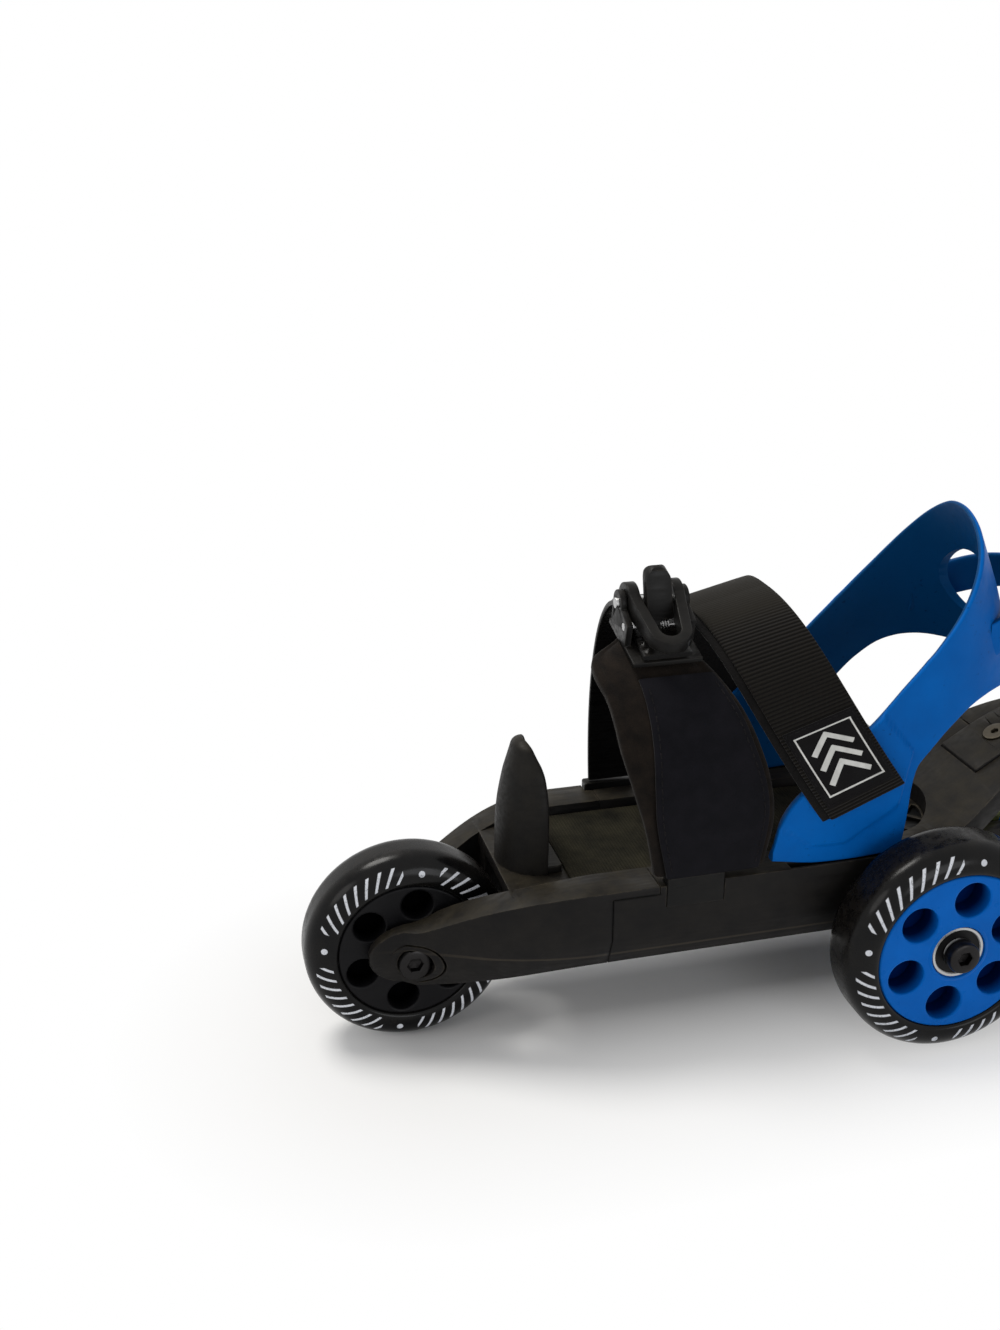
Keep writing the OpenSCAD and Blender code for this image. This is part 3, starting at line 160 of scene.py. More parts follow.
def bezier_slope(points, t):
    a, b, c, d = (Vector(p) for p in points)
    rate = 3 * (1 - t) ** 2 * (b - a) + 6 * (1 - t) * t * (c - b) + 3 * t * t * (d - c)
    return math.atan2(rate[1], rate[0])


def smooth(x, low, high):
    t = min(1.0, max(0.0, (x - low) / (high - low)))
    return t * t * (3 - 2 * t)


def spline(table, x):
    """Smooth curve through (x, value) pairs."""
    last = len(table) - 1
    i = max(k for k in range(last) if k == 0 or table[k][0] <= x)
    (x0, y0), (x1, y1) = table[i], table[i + 1]
    before = table[max(0, i - 1)]
    after = table[min(last, i + 2)]
    m0 = (y1 - before[1]) / (x1 - before[0])
    m1 = (after[1] - y0) / (after[0] - x0)
    h = x1 - x0
    t = min(1.0, max(0.0, (x - x0) / h))
    return (
        (2 * t**3 - 3 * t**2 + 1) * y0
        + (t**3 - 2 * t**2 + t) * h * m0
        + (3 * t**2 - 2 * t**3) * y1
        + (t**3 - t**2) * h * m1
    )


def power(value, exponent):
    return math.copysign(abs(value) ** exponent, value)


def band(width, half_t, count, crown):
    """Rounded section of a band: (offset along the width, offset along the normal)."""
    return [(width / 2 * power(cos(a), crown), half_t * power(sin(a), crown))
            for a in turns(count, 0.5)]


def lengths_along(points):
    """Distance from the first point to each point of a line."""
    lengths = [0.0]
    for before, after in zip(points, points[1:]):
        lengths.append(lengths[-1] + (after - before).length)
    return lengths


def evenly(points, count):
    lengths = lengths_along(points)
    spaced = []
    i = 0
    for wanted in between(0, lengths[-1], count):
        while i < len(points) - 2 and lengths[i + 1] < wanted:
            i += 1
        share = (wanted - lengths[i]) / (lengths[i + 1] - lengths[i])
        spaced.append(points[i].lerp(points[i + 1], share))
    return spaced


# Meshes and objects


def add_object(name, data):
    data.name = name
    made = bpy.data.objects.new(name, data)
    bpy.context.scene.collection.objects.link(made)
    return made


def shape_of(thing):
    """Mesh of an object as its modifiers leave it."""
    depsgraph = bpy.context.evaluated_depsgraph_get()
    return bpy.data.meshes.new_from_object(thing.evaluated_get(depsgraph))


def mesh_of(points, faces, unit=MM):
    mesh = bpy.data.meshes.new("mesh")
    mesh.from_pydata([Vector(p) * unit for p in points], [], faces)
    mesh.update()
    return mesh


def loft(rings, closed=False):
    """Skin over rings of equal length, capped at its ends or closed from last to first."""
    count = len(rings[0])
    points = [p for ring in rings for p in ring]
    faces = []
    for i in range(len(rings) if closed else len(rings) - 1):
        a = i * count
        b = ((i + 1) % len(rings)) * count
        faces += [(a + j, a + (j + 1) % count, b + (j + 1) % count, b + j) for j in range(count)]
    if not closed:
        faces.append(tuple(reversed(range(count))))
        faces.append(tuple(range(len(points) - count, len(points))))
    return mesh_of(points, faces)


def lathe(profile, segments):
    """Closed (radius, y) profile turned about the y axis."""
    rings = [[(r * cos(a), y, r * sin(a)) for r, y in profile] for a in turns(segments)]
    return loft(rings, closed=True)


def plate(outlines, half, edge, steps=3):
    """Flat plate in the xy plane with rounded edges; later outlines are holes."""
    curve = bpy.data.curves.new("plate", "CURVE")
    curve.dimensions = "2D"
    curve.fill_mode = "BOTH"
    curve.extrude = (half - edge) * MM
    curve.bevel_depth = edge * MM
    curve.bevel_resolution = steps
    curve.offset = -edge * MM
    for outline in outlines:
        line = curve.splines.new("POLY")
        line.points.add(len(outline) - 1)
        for point, (x, y) in zip(line.points, outline):
            point.co = (x * MM, y * MM, 0, 1)
        line.use_cyclic_u = True
    maker = add_object("plate", curve)
    mesh = shape_of(maker)
    bpy.data.objects.remove(maker)
    bpy.data.curves.remove(curve)
    return mesh


def store(mesh, name, values):
    """Keeps one number per vertex on the mesh for its material."""
    attribute = mesh.attributes.new(name, "FLOAT", "POINT")
    attribute.data.foreach_set("value", values)


def face_outwards(mesh):
    work = bmesh.new()
    work.from_mesh(mesh)
    bmesh.ops.recalc_face_normals(work, faces=work.faces)
    work.to_mesh(mesh)
    work.free()


def shade(mesh, sharp):
    """Smooth shading, except at edges sharper than an angle in degrees."""
    mesh.shade_smooth()
    mesh.set_sharp_from_angle(angle=radians(sharp))


def piece(name, mesh, body, material, place=(0, 0, 0), sharp=40):
    face_outwards(mesh)
    mesh.materials.clear()
    mesh.materials.append(material)
    shade(mesh, sharp)
    made = add_object(name, mesh)
    made.location = Vector(place) * MM
    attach(made, body)
    return made


def joined(meshes):
    points = []
    faces = []
    for mesh in meshes:
        start = len(points)
        points += [v.co.copy() for v in mesh.vertices]
        faces += [tuple(start + i for i in p.vertices) for p in mesh.polygons]
        bpy.data.meshes.remove(mesh)
    return mesh_of(points, faces, unit=1)


def cut(target, cutter_mesh):
    """Takes a shape out of a piece and keeps the result as its mesh."""
    cutter = add_object("cutter", cutter_mesh)
    modifier = target.modifiers.new("cut", "BOOLEAN")
    modifier.object = cutter
    modifier.solver = "EXACT"
    bpy.context.view_layer.update()
    mesh = shape_of(target)
    target.modifiers.remove(modifier)
    target.data = mesh
    bpy.data.objects.remove(cutter)


def round_edges(thing, width, angle, harden):
    rounding = thing.modifiers.new("edges", "BEVEL")
    rounding.width = width * MM
    rounding.segments = 3
    rounding.angle_limit = radians(angle)
    rounding.harden_normals = harden


# Shader nodes


def srgb(red, green, blue):
    """Blender's linear colour from values of 0 to 255."""
    shares = (value / 255 for value in (red, green, blue))
    linear = (s / 12.92 if s <= 0.04045 else ((s + 0.055) / 1.055) ** 2.4 for s in shares)
    return (*linear, 1.0)


class Nodes:
    """Short ways to add nodes to a tree; lengths named _mm are millimetres."""

    def __init__(self, tree):
        self.tree = tree

    def feed(self, socket, value):
        if isinstance(value, bpy.types.NodeSocket):
            self.tree.links.new(value, socket)
        else:
            socket.default_value = value

    def node(self, kind, inputs=(), **settings):
        """Adds a node and gives its outputs."""
        made = self.tree.nodes.new("ShaderNode" + kind)
        for key, value in settings.items():
            setattr(made, key, value)
        for socket, value in dict(inputs).items():
            self.feed(made.inputs[socket], value)
        return made.outputs

    def math(self, operation, a, b=0.0):
        return self.node("Math", {0: a, 1: b}, operation=operation)["Value"]

    def times(self, a, b):
        return self.math("MULTIPLY", a, b)

    def squares(self, a, b):
        return self.math("ADD", self.times(a, a), self.times(b, b))

    def away(self, value, spot):
        return self.math("ABSOLUTE", self.math("SUBTRACT", value, spot))

    def ramp(self, value, low, high, to_low=0.0, to_high=1.0):
        inputs = {"Value": value, "From Min": low, "From Max": high, "To Min": to_low, "To Max": to_high}
        return self.node("MapRange", inputs)["Result"]

    def mix(self, share, a, b):
        return self.node("Mix", {0: share, 6: a, 7: b}, data_type="RGBA")[2]

    def seen(self):
        """1 for what the camera sees, straight, mirrored or through something clear."""
        paths = self.node("LightPath")
        indirect = self.math("MAXIMUM", paths["Is Glossy Ray"], paths["Is Transmission Ray"])
        return self.math("MAXIMUM", paths["Is Camera Ray"], indirect)


class Material(Nodes):
    """A principled material, with patterns in the object's own coordinates."""

    def __init__(self, name, color, roughness, metallic=0.0, specular=0.5):
        self.material = bpy.data.materials.new(name)
        self.material.use_nodes = True
        super().__init__(self.material.node_tree)
        self.shader = self.tree.nodes["Principled BSDF"]
        self.normal = None
        self.set("Base Color", color)
        self.set("Roughness", roughness)
        self.set("Metallic", metallic)
        self.set("Specular IOR Level", specular)

    def set(self, socket, value):
        self.feed(self.shader.inputs[socket], value)

    def coords(self):
        return self.node("TexCoord")["Object"]

    def place(self):
        return self.node("SeparateXYZ", {0: self.coords()})

    def facing(self, axis):
        """The normal's share along one of the object's axes."""
        return self.node("SeparateXYZ", {0: self.node("TexCoord")["Normal"]})[axis]

    def attribute(self, name):
        return self.node("Attribute", attribute_name=name)["Fac"]

    def noise(self, size_mm, detail, roughness=0.55, coords=None):
        inputs = {"Vector": coords or self.coords(), "Scale": 1 / (size_mm * MM)}
        return self.node("TexNoise", {**inputs, "Detail": detail, "Roughness": roughness})["Fac"]

    def streaks(self, width_mm, stretch):
        """Noise drawn out along the skate."""
        inputs = {"Vector": self.coords(), "Scale": (1 / stretch, 1.0, 1.0)}
        return self.noise(width_mm, 4.0, 0.5, self.node("Mapping", inputs)["Vector"])

    def edges(self, radius_mm):
        """Share of an edge at each point, 0 on flat ground."""
        flat = self.node("NewGeometry")["Normal"]
        rounded = self.node("Bevel", {"Radius": radius_mm * MM}, samples=6)["Normal"]
        turn = self.node("VectorMath", {0: flat, 1: rounded}, operation="DOT_PRODUCT")["Value"]
        return self.ramp(turn, 0.985, 0.8)

    def toned(self, base, deep):
        return self.mix(self.ramp(self.noise(18, 4), 0.3, 0.75), base, deep)

    def vary_roughness(self, low, high):
        self.set("Roughness", self.ramp(self.noise(5, 4), 0.3, 0.7, low, high))

    def sheen(self, weight):
        self.set("Sheen Weight", weight)
        self.set("Sheen Roughness", 0.5)

    def bump(self, height, depth_mm, strength):
        """Adds a height in 0..1, worth depth_mm."""
        inputs = {"Height": height, "Distance": depth_mm * MM, "Strength": strength}
        if self.normal is not None:
            inputs["Normal"] = self.normal
        self.normal = self.node("Bump", inputs)["Normal"]
        self.set("Normal", self.normal)


# Materials


def rail_lines(m):
    """Painted shade in the joint of the frames and on the pocket's floor, and a painted highlight line along
    the rails.
    """
    place = m.place()
    side = m.ramp(m.math("ABSOLUTE", m.facing("Y")), 0.45, 0.65)
    soft = 0.2

    def near(axis, spot, reach):
        return m.ramp(m.away(place[axis], spot * MM), reach * MM, 0.6 * reach * MM)

    # Painted shade: a nearly black line in the joint between the two frames
    down = m.times(near("X", SPLIT_X, SEAM_REACH), m.ramp(place["Z"], LIP_Z * MM, (LIP_Z - 2 * soft) * MM))
    lip_half = (LIP_END - SPLIT_X) / 2
    under = m.times(near("Z", LIP_Z, SEAM_REACH), near("X", SPLIT_X + lip_half, lip_half * 1.25))
    seam = m.times(m.math("MAXIMUM", down, under), side)
    aside = m.math("SUBTRACT", place["X"], POCKET_X * MM)
    inside = m.ramp(m.squares(aside, place["Y"]), (POCKET_R * MM) ** 2, ((POCKET_R - soft) * MM) ** 2)
    behind = m.ramp(place["X"], POCKET_START * MM, (POCKET_START + soft) * MM)
    # Painted shade: the pocket's floor behind the grip pad is nearly black
    floor = m.times(m.times(inside, near("Z", DECK_Z, 2 * soft)), behind)
    # Painted highlight: a thin pale line along the sides of the rails
    highlight_line = m.times(m.times(near("Z", HIGHLIGHT_LINE_Z, HIGHLIGHT_LINE_REACH), side), near("X", HIGHLIGHT_LINE_MIDDLE, HIGHLIGHT_LINE_HALF))
    return m.math("MAXIMUM", seam, floor), highlight_line


def dusty_plastic(name, dark, light, wear_and_highlight, dust, dust_share, roughness, rails=False):
    """Black plastic, scuffed along its length, rubbed pale at its edges with a painted highlight there too,
    with dust on what faces up.
    """
    m = Material(name, dark, roughness, specular=0.1)
    color = m.mix(m.ramp(m.noise(13, 6, 0.6), 0.38, 0.72), dark, light)
    color = m.mix(m.ramp(m.streaks(1.1, 14), 0.6, 0.72, 0.0, 0.35), color, light)
    lying = m.ramp(m.noise(8, 6, 0.65), 0.36, 0.68, 0.12, dust_share)
    color = m.mix(m.times(m.ramp(m.facing("Z"), 0.5, 0.95), lying), color, dust)
    # Rubbed wear and painted highlight: paler on the edges
    rubbed_and_highlight = m.times(m.edges(1.1), m.ramp(m.noise(4, 4), 0.42, 0.68, 0.0, 0.6))
    color = m.mix(rubbed_and_highlight, color, wear_and_highlight)
    if rails:
        joint_and_pocket_shade, highlight_line = rail_lines(m)
        # Painted highlight line along the rails, in the worn colour
        color = m.mix(m.times(highlight_line, 0.3), color, wear_and_highlight)
        # Painted shade in the frames' joint and on the pocket's floor
        color = m.mix(joint_and_pocket_shade, color, srgb(3, 3, 3))
    m.set("Base Color", color)
    m.set("Roughness", m.ramp(m.streaks(1.6, 8), 0.3, 0.7, roughness - 0.1, roughness + 0.14))
    m.bump(m.noise(0.6, 2), 0.03, 0.5)
    m.bump(m.streaks(2.2, 10), 0.05, 0.4)
    return m.material


def hub_plastic(name, prefix, base, deep, pocket_shade, roughness, tint):
    """Moulded hub, with painted shade down its pockets: darker and duller by the distance from its middle
    plane.
    """
    face = node_size(prefix + "_hub").y / 2
    m = Material(name, base, roughness)
    m.set("Specular Tint", tint)
    # Painted shade: darker colour and weaker reflection down the pockets
    light = m.ramp(m.math("ABSOLUTE", m.place()["Y"]), (face - 6.5) * MM, (face - 0.6) * MM)
    m.set("Base Color", m.mix(light, pocket_shade, m.toned(base, deep)))
    m.set("Specular IOR Level", m.ramp(light, 0.0, 1.0, 0.01, 0.12))
    m.vary_roughness(roughness - 0.07, roughness + 0.09)
    m.bump(m.noise(0.8, 2), 0.03, 0.6)
    return m.material


def plain_plastic(name, base, deep, roughness, grain_mm=0.8, grain_depth=0.03):
    m = Material(name, base, roughness, specular=0.12)
    m.set("Base Color", m.toned(base, deep))
    m.vary_roughness(roughness - 0.07, roughness + 0.09)
    m.bump(m.noise(grain_mm, 2), grain_depth, 0.6)
    return m.material


def cup_plastic(name, base, deep, inside, specks, tint):
    """Grained plastic of the cup, with painted shade on the side that faces its middle."""
    m = Material(name, base, 0.46, specular=0.14)
    m.set("Specular Tint", tint)
    place = m.place()
    behind = m.math("MAXIMUM", m.math("SUBTRACT", place["X"], CUP_MID * MM), 0.0)
    outwards = m.math("ADD", m.times(behind, m.facing("X")), m.times(place["Y"], m.facing("Y")))
    # Painted shade: the inner face of the cup is darker
    color = m.mix(m.ramp(outwards, 0.004, -0.006), m.toned(base, deep), inside)
    spots = m.ramp(m.noise(1.6, 2, 0.4), 0.67, 0.72)
    spots = m.times(spots, m.ramp(m.noise(15, 2), 0.45, 0.65, 0.0, 0.55))
    m.set("Base Color", m.mix(spots, color, specks))
    m.vary_roughness(0.4, 0.56)
    m.bump(m.noise(0.7, 2), 0.04, 0.7)
    return m.material


def metal(name, color, roughness):
    m = Material(name, color, roughness, metallic=1.0)
    m.set("Roughness", m.ramp(m.noise(2.2, 5), 0.3, 0.7, roughness - 0.08, roughness + 0.12))
    m.bump(m.noise(0.25, 3), 0.012, 0.5)
    return m.material


def printed_tyre(prefix):
    """Black urethane with a worn white ring of slanted strokes and dots on its sides, about the axle."""
    m = Material(prefix + "_tyre_print", srgb(11, 11, 12), 0.26, specular=0.14)
    inner = (hub_radius(prefix) + 2.4) * MM
    outer = inner + 6.6 * MM
    middle = (inner + outer) / 2
    dot = 1.25 * MM
    soft = 0.1 * MM
    groups = 4
    strokes = 44
    slant = 20.0

    def wave(angle, count, phase=0.0):
        return m.math("FRACT", m.math("ADD", m.times(angle, count / math.tau), phase))

    def near(value, spot, reach, edge):
        return m.ramp(m.away(value, spot), reach - edge, reach + edge, 1.0, 0.0)

    place = m.place()
    across = m.math("POWER", m.squares(place["X"], place["Z"]), 0.5)
    turn = m.math("ARCTAN2", place["Z"], place["X"])
    out = m.math("SUBTRACT", across, middle)
    in_ring = near(across, middle, (outer - inner) / 2, soft)
    stroke = near(wave(m.math("ADD", turn, m.times(out, slant)), strokes), 0.5, 0.125, 0.03)
    in_group = near(wave(turn, groups, 0.1), 0.5, 0.365, 0.002)
    bars = m.times(m.times(in_ring, stroke), in_group)
    aside = m.times(m.math("SUBTRACT", wave(turn, groups, 0.6), 0.5), math.tau / groups * middle)
    far = m.math("POWER", m.squares(aside, out), 0.5)
    dots = m.ramp(far, dot - soft, dot + soft, 1.0, 0.0)
    flank = m.math("ABSOLUTE", m.facing("Y"))
    marks = m.times(m.math("MAXIMUM", bars, dots), m.ramp(flank, 0.3, 0.4))
    worn = m.times(marks, m.ramp(m.noise(0.8, 4), 0.3, 0.42, 0.3, 1.0))
    scuffed = m.times(m.ramp(flank, 0.55, 0.1), m.ramp(m.noise(3, 6, 0.7), 0.4, 0.7, 0.1, 0.7))
    base = m.mix(m.ramp(m.noise(9, 4), 0.4, 0.7), srgb(9, 9, 10), srgb(17, 16, 15))
    base = m.mix(scuffed, base, srgb(33, 30, 27))
    m.set("Base Color", m.mix(worn, base, srgb(214, 217, 224)))
    m.set("Roughness", m.ramp(m.math("ADD", scuffed, m.noise(4, 4)), 0.4, 1.1, 0.15, 0.4))
    m.bump(m.noise(1.5, 3), 0.02, 0.5)
    return m.material


def clear_urethane(name, base, dark, light):
    m = Material(name, base, 0.18)
    m.set("Transmission Weight", 0.72)
    m.set("IOR", 1.45)
    m.set("Base Color", m.mix(m.ramp(m.noise(10, 4), 0.35, 0.7), dark, light))
    m.bump(m.noise(1.5, 3), 0.03, 0.5)
    return m.material


def webbing(name, rib_highlight, light, crest_tone):
    """Black webbing with fine ribs, by the distance stored along the strap, painted lighter on the ribs as
    highlight and darker between them as shade; paler and browner over its crest, where the ribs fade.
    """
    m = Material(name, srgb(12, 11, 11), 0.75, specular=0.05)
    rib_pitch = 1.5
    thread_pitch = 0.55
    crest_start = 84
    crest_end = 152
    fade = 10
    along = m.attribute("along")
    wave = m.math("SINE", m.times(along, math.tau / rib_pitch))
    rising = m.ramp(along, crest_start, crest_start + fade)
    crest = m.times(rising, m.ramp(along, crest_end, crest_end - fade))
    ribs = m.times(m.ramp(wave, -1.0, 1.0), m.ramp(crest, 0.0, 1.0, 1.0, 0.12))
    thread = m.math("SINE", m.times(m.attribute("across"), math.tau / thread_pitch))
    # Painted highlight on the ribs and painted shade between them
    color = m.mix(ribs, srgb(7, 6, 6), rib_highlight)
    color = m.mix(m.ramp(thread, 0.2, 1.0, 0.0, 0.25), color, light)
    color = m.mix(m.ramp(m.noise(6, 6, 0.7), 0.45, 0.75, 0.0, 0.45), color, light)
    # Paler and browner over the strap's crest, where the ribs fade
    m.set("Base Color", m.mix(m.times(crest, 0.8), color, crest_tone))
    m.sheen(0.08)
    m.bump(ribs, 0.4, 0.9)
    m.bump(m.noise(0.5, 2), 0.08, 0.5)
    return m.material


def cloth(name, dark, light, cell_mm, depth_mm, sheen):
    """Close knit cloth: small cells with painted shade in their hollows, and slow changes of tone."""
    m = Material(name, dark, 0.8, specular=0.05)
    cells = m.node("TexVoronoi", {"Vector": m.coords(), "Scale": 1 / (cell_mm * MM)})["Distance"]
    color = m.mix(m.ramp(m.noise(7, 5), 0.35, 0.7), dark, light)
    # Painted shade: darker in the hollows of the cells
    m.set("Base Color", m.mix(m.ramp(cells, 0.2, 0.8, 0.35, 0.0), color, dark))
    m.sheen(sheen)
    m.bump(cells, depth_mm, 0.7)
    m.bump(m.noise(5, 4), 0.25, 0.3)
    return m.material


def grip(name, dark, light):
    """Rubber deck pad with fine ribs across it, patchy dust, and painted shade in the grooves between the
    ribs.
    """
    m = Material(name, dark, 0.8, specular=0.05)
    inputs = {"Vector": m.coords(), "Scale": 245.0, "Distortion": 0.6, "Detail": 1.0, "Detail Scale": 0.3}
    ribs = m.node("TexWave", inputs, wave_type="BANDS", bands_direction="X")["Fac"]
    color = m.mix(m.ramp(m.noise(16, 6, 0.65), 0.36, 0.7), dark, light)
    # Painted shade: the grooves between the ribs are darker
    m.set("Base Color", m.mix(m.ramp(ribs, 0.3, 0.8, 0.3, 0.0), color, dark))
    m.bump(ribs, 0.25, 0.7)
    m.bump(m.noise(0.7, 2), 0.06, 0.6)
    return m.material


# Third colour: rubbed wear and painted highlight on edges, and the rails' painted highlight line; fourth
# colour: dust
CHASSIS = dusty_plastic("chassis_plastic", srgb(19, 18, 18), srgb(29, 27, 25), srgb(78, 71, 60),
                        srgb(53, 48, 37), 0.6, 0.44, rails=True)
POST = dusty_plastic("post_plastic", srgb(19, 18, 17), srgb(29, 27, 24), srgb(80, 73, 62),
                     srgb(52, 47, 38), 0.5, 0.5)
BUCKLE = dusty_plastic("buckle_plastic", srgb(17, 17, 17), srgb(26, 25, 24), srgb(70, 64, 56),
                       srgb(38, 35, 30), 0.25, 0.36)
LADDER = dusty_plastic("ladder_plastic", srgb(12, 12, 12), srgb(20, 19, 19), srgb(52, 48, 44),
                       srgb(34, 31, 27), 0.3, 0.27)
# The third colour of each set is painted shade down the hub's pockets
BLUE_TONES = (srgb(0, 98, 190), srgb(0, 88, 174), srgb(0, 30, 84))
BLACK_TONES = (srgb(10, 10, 12), srgb(15, 14, 16), srgb(3, 3, 4))
BLUE_SHINE = (0.4, 0.68, 1.0, 1.0)
WHITE_SHINE = (1.0, 1.0, 1.0, 1.0)
HUB_BLUE = hub_plastic("hub_blue", "left", *BLUE_TONES, 0.32, BLUE_SHINE)
REAR_HUB_BLUE = hub_plastic("rear_hub_blue", "rear", *BLUE_TONES, 0.32, BLUE_SHINE)
HUB_BLACK = hub_plastic("hub_black", "front", *BLACK_TONES, 0.5, WHITE_SHINE)
# The fourth colour is painted shade on the cup's inner face; the fifth is its dark specks
CUP_BLUE = cup_plastic("cup_blue", srgb(0, 94, 178), srgb(0, 84, 163), srgb(2, 62, 112), srgb(3, 26, 62),
                       (0.3, 0.62, 1.0, 1.0))
BLACK_STEEL = metal("black_steel", srgb(40, 39, 39), 0.34)
STEEL = metal("steel", srgb(176, 176, 176), 0.3)
WORN_ZINC = metal("worn_zinc", srgb(74, 69, 60), 0.5)
SEAL = plain_plastic("bearing_seal", srgb(9, 9, 10), srgb(17, 16, 17), 0.4)
FRICTION = plain_plastic("friction_lining", srgb(96, 76, 54), srgb(70, 54, 38), 0.85, 0.5, 0.1)
SMOKE = clear_urethane("smoky_urethane", srgb(120, 126, 78), srgb(96, 104, 58), srgb(150, 158, 104))
# Rib colour: painted highlight on the ribs; then the thread colour; then the paler tone over the strap's
# crest
WEBBING = webbing("webbing", srgb(27, 25, 22), srgb(24, 21, 17), srgb(27, 24, 18))
NEOPRENE = cloth("neoprene", srgb(17, 14, 12), srgb(34, 28, 23), 0.55, 0.14, 0.06)
OVERLAY = cloth("overlay_cloth", srgb(14, 14, 18), srgb(21, 20, 25), 0.32, 0.04, 0.05)
LABEL_CLOTH = cloth("label_cloth", srgb(13, 12, 13), srgb(20, 19, 20), 0.4, 0.08, 0.1)
LABEL_WHITE = cloth("label_thread", srgb(198, 198, 194), srgb(228, 228, 224), 0.35, 0.1, 0.1)
LOOP_CLOTH = cloth("loop_cloth", srgb(9, 8, 8), srgb(19, 17, 16), 0.6, 0.2, 0.15)
STITCH = cloth("stitch_thread", srgb(19, 18, 20), srgb(29, 27, 28), 0.4, 0.05, 0.05)
GRIP = grip("deck_grip", srgb(23, 22, 18), srgb(52, 49, 38))


# CAD pieces that keep their shape: material, width of the rounded edges, names

KEPT = [
    (CHASSIS, 0.9, ["rear_chassis", "front_chassis"]),
    (CHASSIS, 0.8, ["brake_fender"]),
    (CHASSIS, 0.6, ["fender_key"]),
    (WORN_ZINC, 0.3, ["fender_bolt"]),
    (GRIP, 0.4, ["front_grip_pad", "rear_grip_pad"]),
    (FRICTION, 0.2, ["brake_discs"]),
    (BUCKLE, 0.8, ["cuff_tab", "ladder_tab"]),
    (BUCKLE, 0.5, ["buckle_base"]),
    (BUCKLE, 1.8, ["buckle_lever"]),
    (BUCKLE, 0.6, ["buckle_pawl"]),
    (STEEL, 0.2, [prefix + "_spacers" for prefix in AXLES] + ["post_screws", "heel_cup_screws", "tab_pins"]),
    (STEEL, 0.3, ["front_axle_nut", "rear_axle_nut", "buckle_pin", "pawl_pin"]),
    (STEEL, 0.4, ["length_lock_screw"]),
    (STEEL, 0.0, ["pawl_spring"]),
]


def keep_node(name, material, edge):
    shown = frame["nodes"][name]
    shown.data.materials.clear()
    shown.data.materials.append(material)
    shown.data.shade_smooth()
    weld = shown.modifiers.new("weld", "WELD")
    weld.merge_threshold = 0.002 * MM
    if edge:
        round_edges(shown, edge, 38, True)


for kept_material, kept_edge, kept_names in KEPT:
    for kept_name in kept_names:
        keep_node(kept_name, kept_material, kept_edge)


# Wheels

TYRE_SHOULDER = 9.0
BEARING_W = 7.0
BORE_R = 4.0
HOLE_PHASE = 20.5
BOLT_HEAD = 4.5


def tyre_profile(radius, half, hub_r):
    """Section of a tyre: rounded shoulders, and a small chamfer where it meets the hub."""
    side = [(hub_r, half - 1.4), (hub_r + 0.4, half - 0.5), (hub_r + 1.4, half)]
    side += arc((radius - TYRE_SHOULDER, half - TYRE_SHOULDER), TYRE_SHOULDER, 90, 0, 14)
    return side + [(r, -y) for r, y in reversed(side)]


def bearing_ring(outer, inner, low, high, soft):
    """Ring from radius inner to outer, between two faces, with softened corners."""
    profile = [(outer, low + soft), (outer, high - soft), (outer - soft, high), (inner + soft, high),
               (inner, high - soft), (inner, low + soft), (inner + soft, low), (outer - soft, low)]
    return lathe(profile, 96)


def wheel(prefix, holes, hub_material, tyre_material, web=0.0):
    """Tyre, hub and bearings of a wheel; web is the thickness of the wall across the hub's holes."""
    body = prefix + "_wheel"
    centre = AXLES[prefix]
    tyre_half = node_size(prefix + "_tyre") / 2
    hub_r = hub_radius(prefix)
    hub_half = node_size(prefix + "_hub").y / 2
    bearing_half = node_size(prefix + "_bearings") / 2
    seat = bearing_half.x

    skin = lathe(tyre_profile(tyre_half.x, tyre_half.y, hub_r), 128)
    tyre = piece(prefix + "_tyre_skin", skin, body, tyre_material, centre, sharp=60)
    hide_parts(prefix + "_tyre")

    outlines = [circle(hub_r - 0.02, 128), circle(seat + 0.02, 64)]
    outlines += [circle(hole_r, 40, spot) for hole_r, spot in holes]
    parts = [plate(outlines, hub_half, 0.9)]
    parts[0].transform(Matrix.Rotation(radians(90), 4, "X"))
    lip = [(seat + 0.1, hub_half - 0.6), (seat + 0.3, hub_half + 0.25), (seat + 1.3, hub_half + 0.25),
           (seat + 2.2, hub_half - 0.3)]
    parts += [lathe([(r, side * y) for r, y in lip], 96) for side in (1, -1)]
    if web:
        disc = [(seat + 0.5, -web / 2), (hub_r - 0.5, -web / 2), (hub_r - 0.5, web / 2),
                (seat + 0.5, web / 2)]
        parts.append(lathe(disc, 96))
    hub = piece(prefix + "_hub_body", joined(parts), body, hub_material, centre, sharp=35)
    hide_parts(prefix + "_hub")

    races = []
    seals = []
    for high in (bearing_half.y, BEARING_W - bearing_half.y):
        low = high - BEARING_W
        races.append(bearing_ring(seat, seat - 1.6, low, high, 0.35))
        races.append(bearing_ring(BORE_R + 1.9, BORE_R, low, high, 0.3))
        seals.append(bearing_ring(seat - 1.5, BORE_R + 1.8, low + 0.5, high - 0.5, 0.2))
    race = piece(prefix + "_bearing_races", joined(races), body, STEEL, centre)
    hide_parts(prefix + "_bearings")
    piece(prefix + "_bearing_seals", joined(seals), body, SEAL, centre)


def ring_of(count, at, hole_r, turned=0.0):
    """Holes round the axle, as (radius, place)."""
    return [(hole_r, spot) for spot in circle(at, count, start=HOLE_PHASE + turned)]


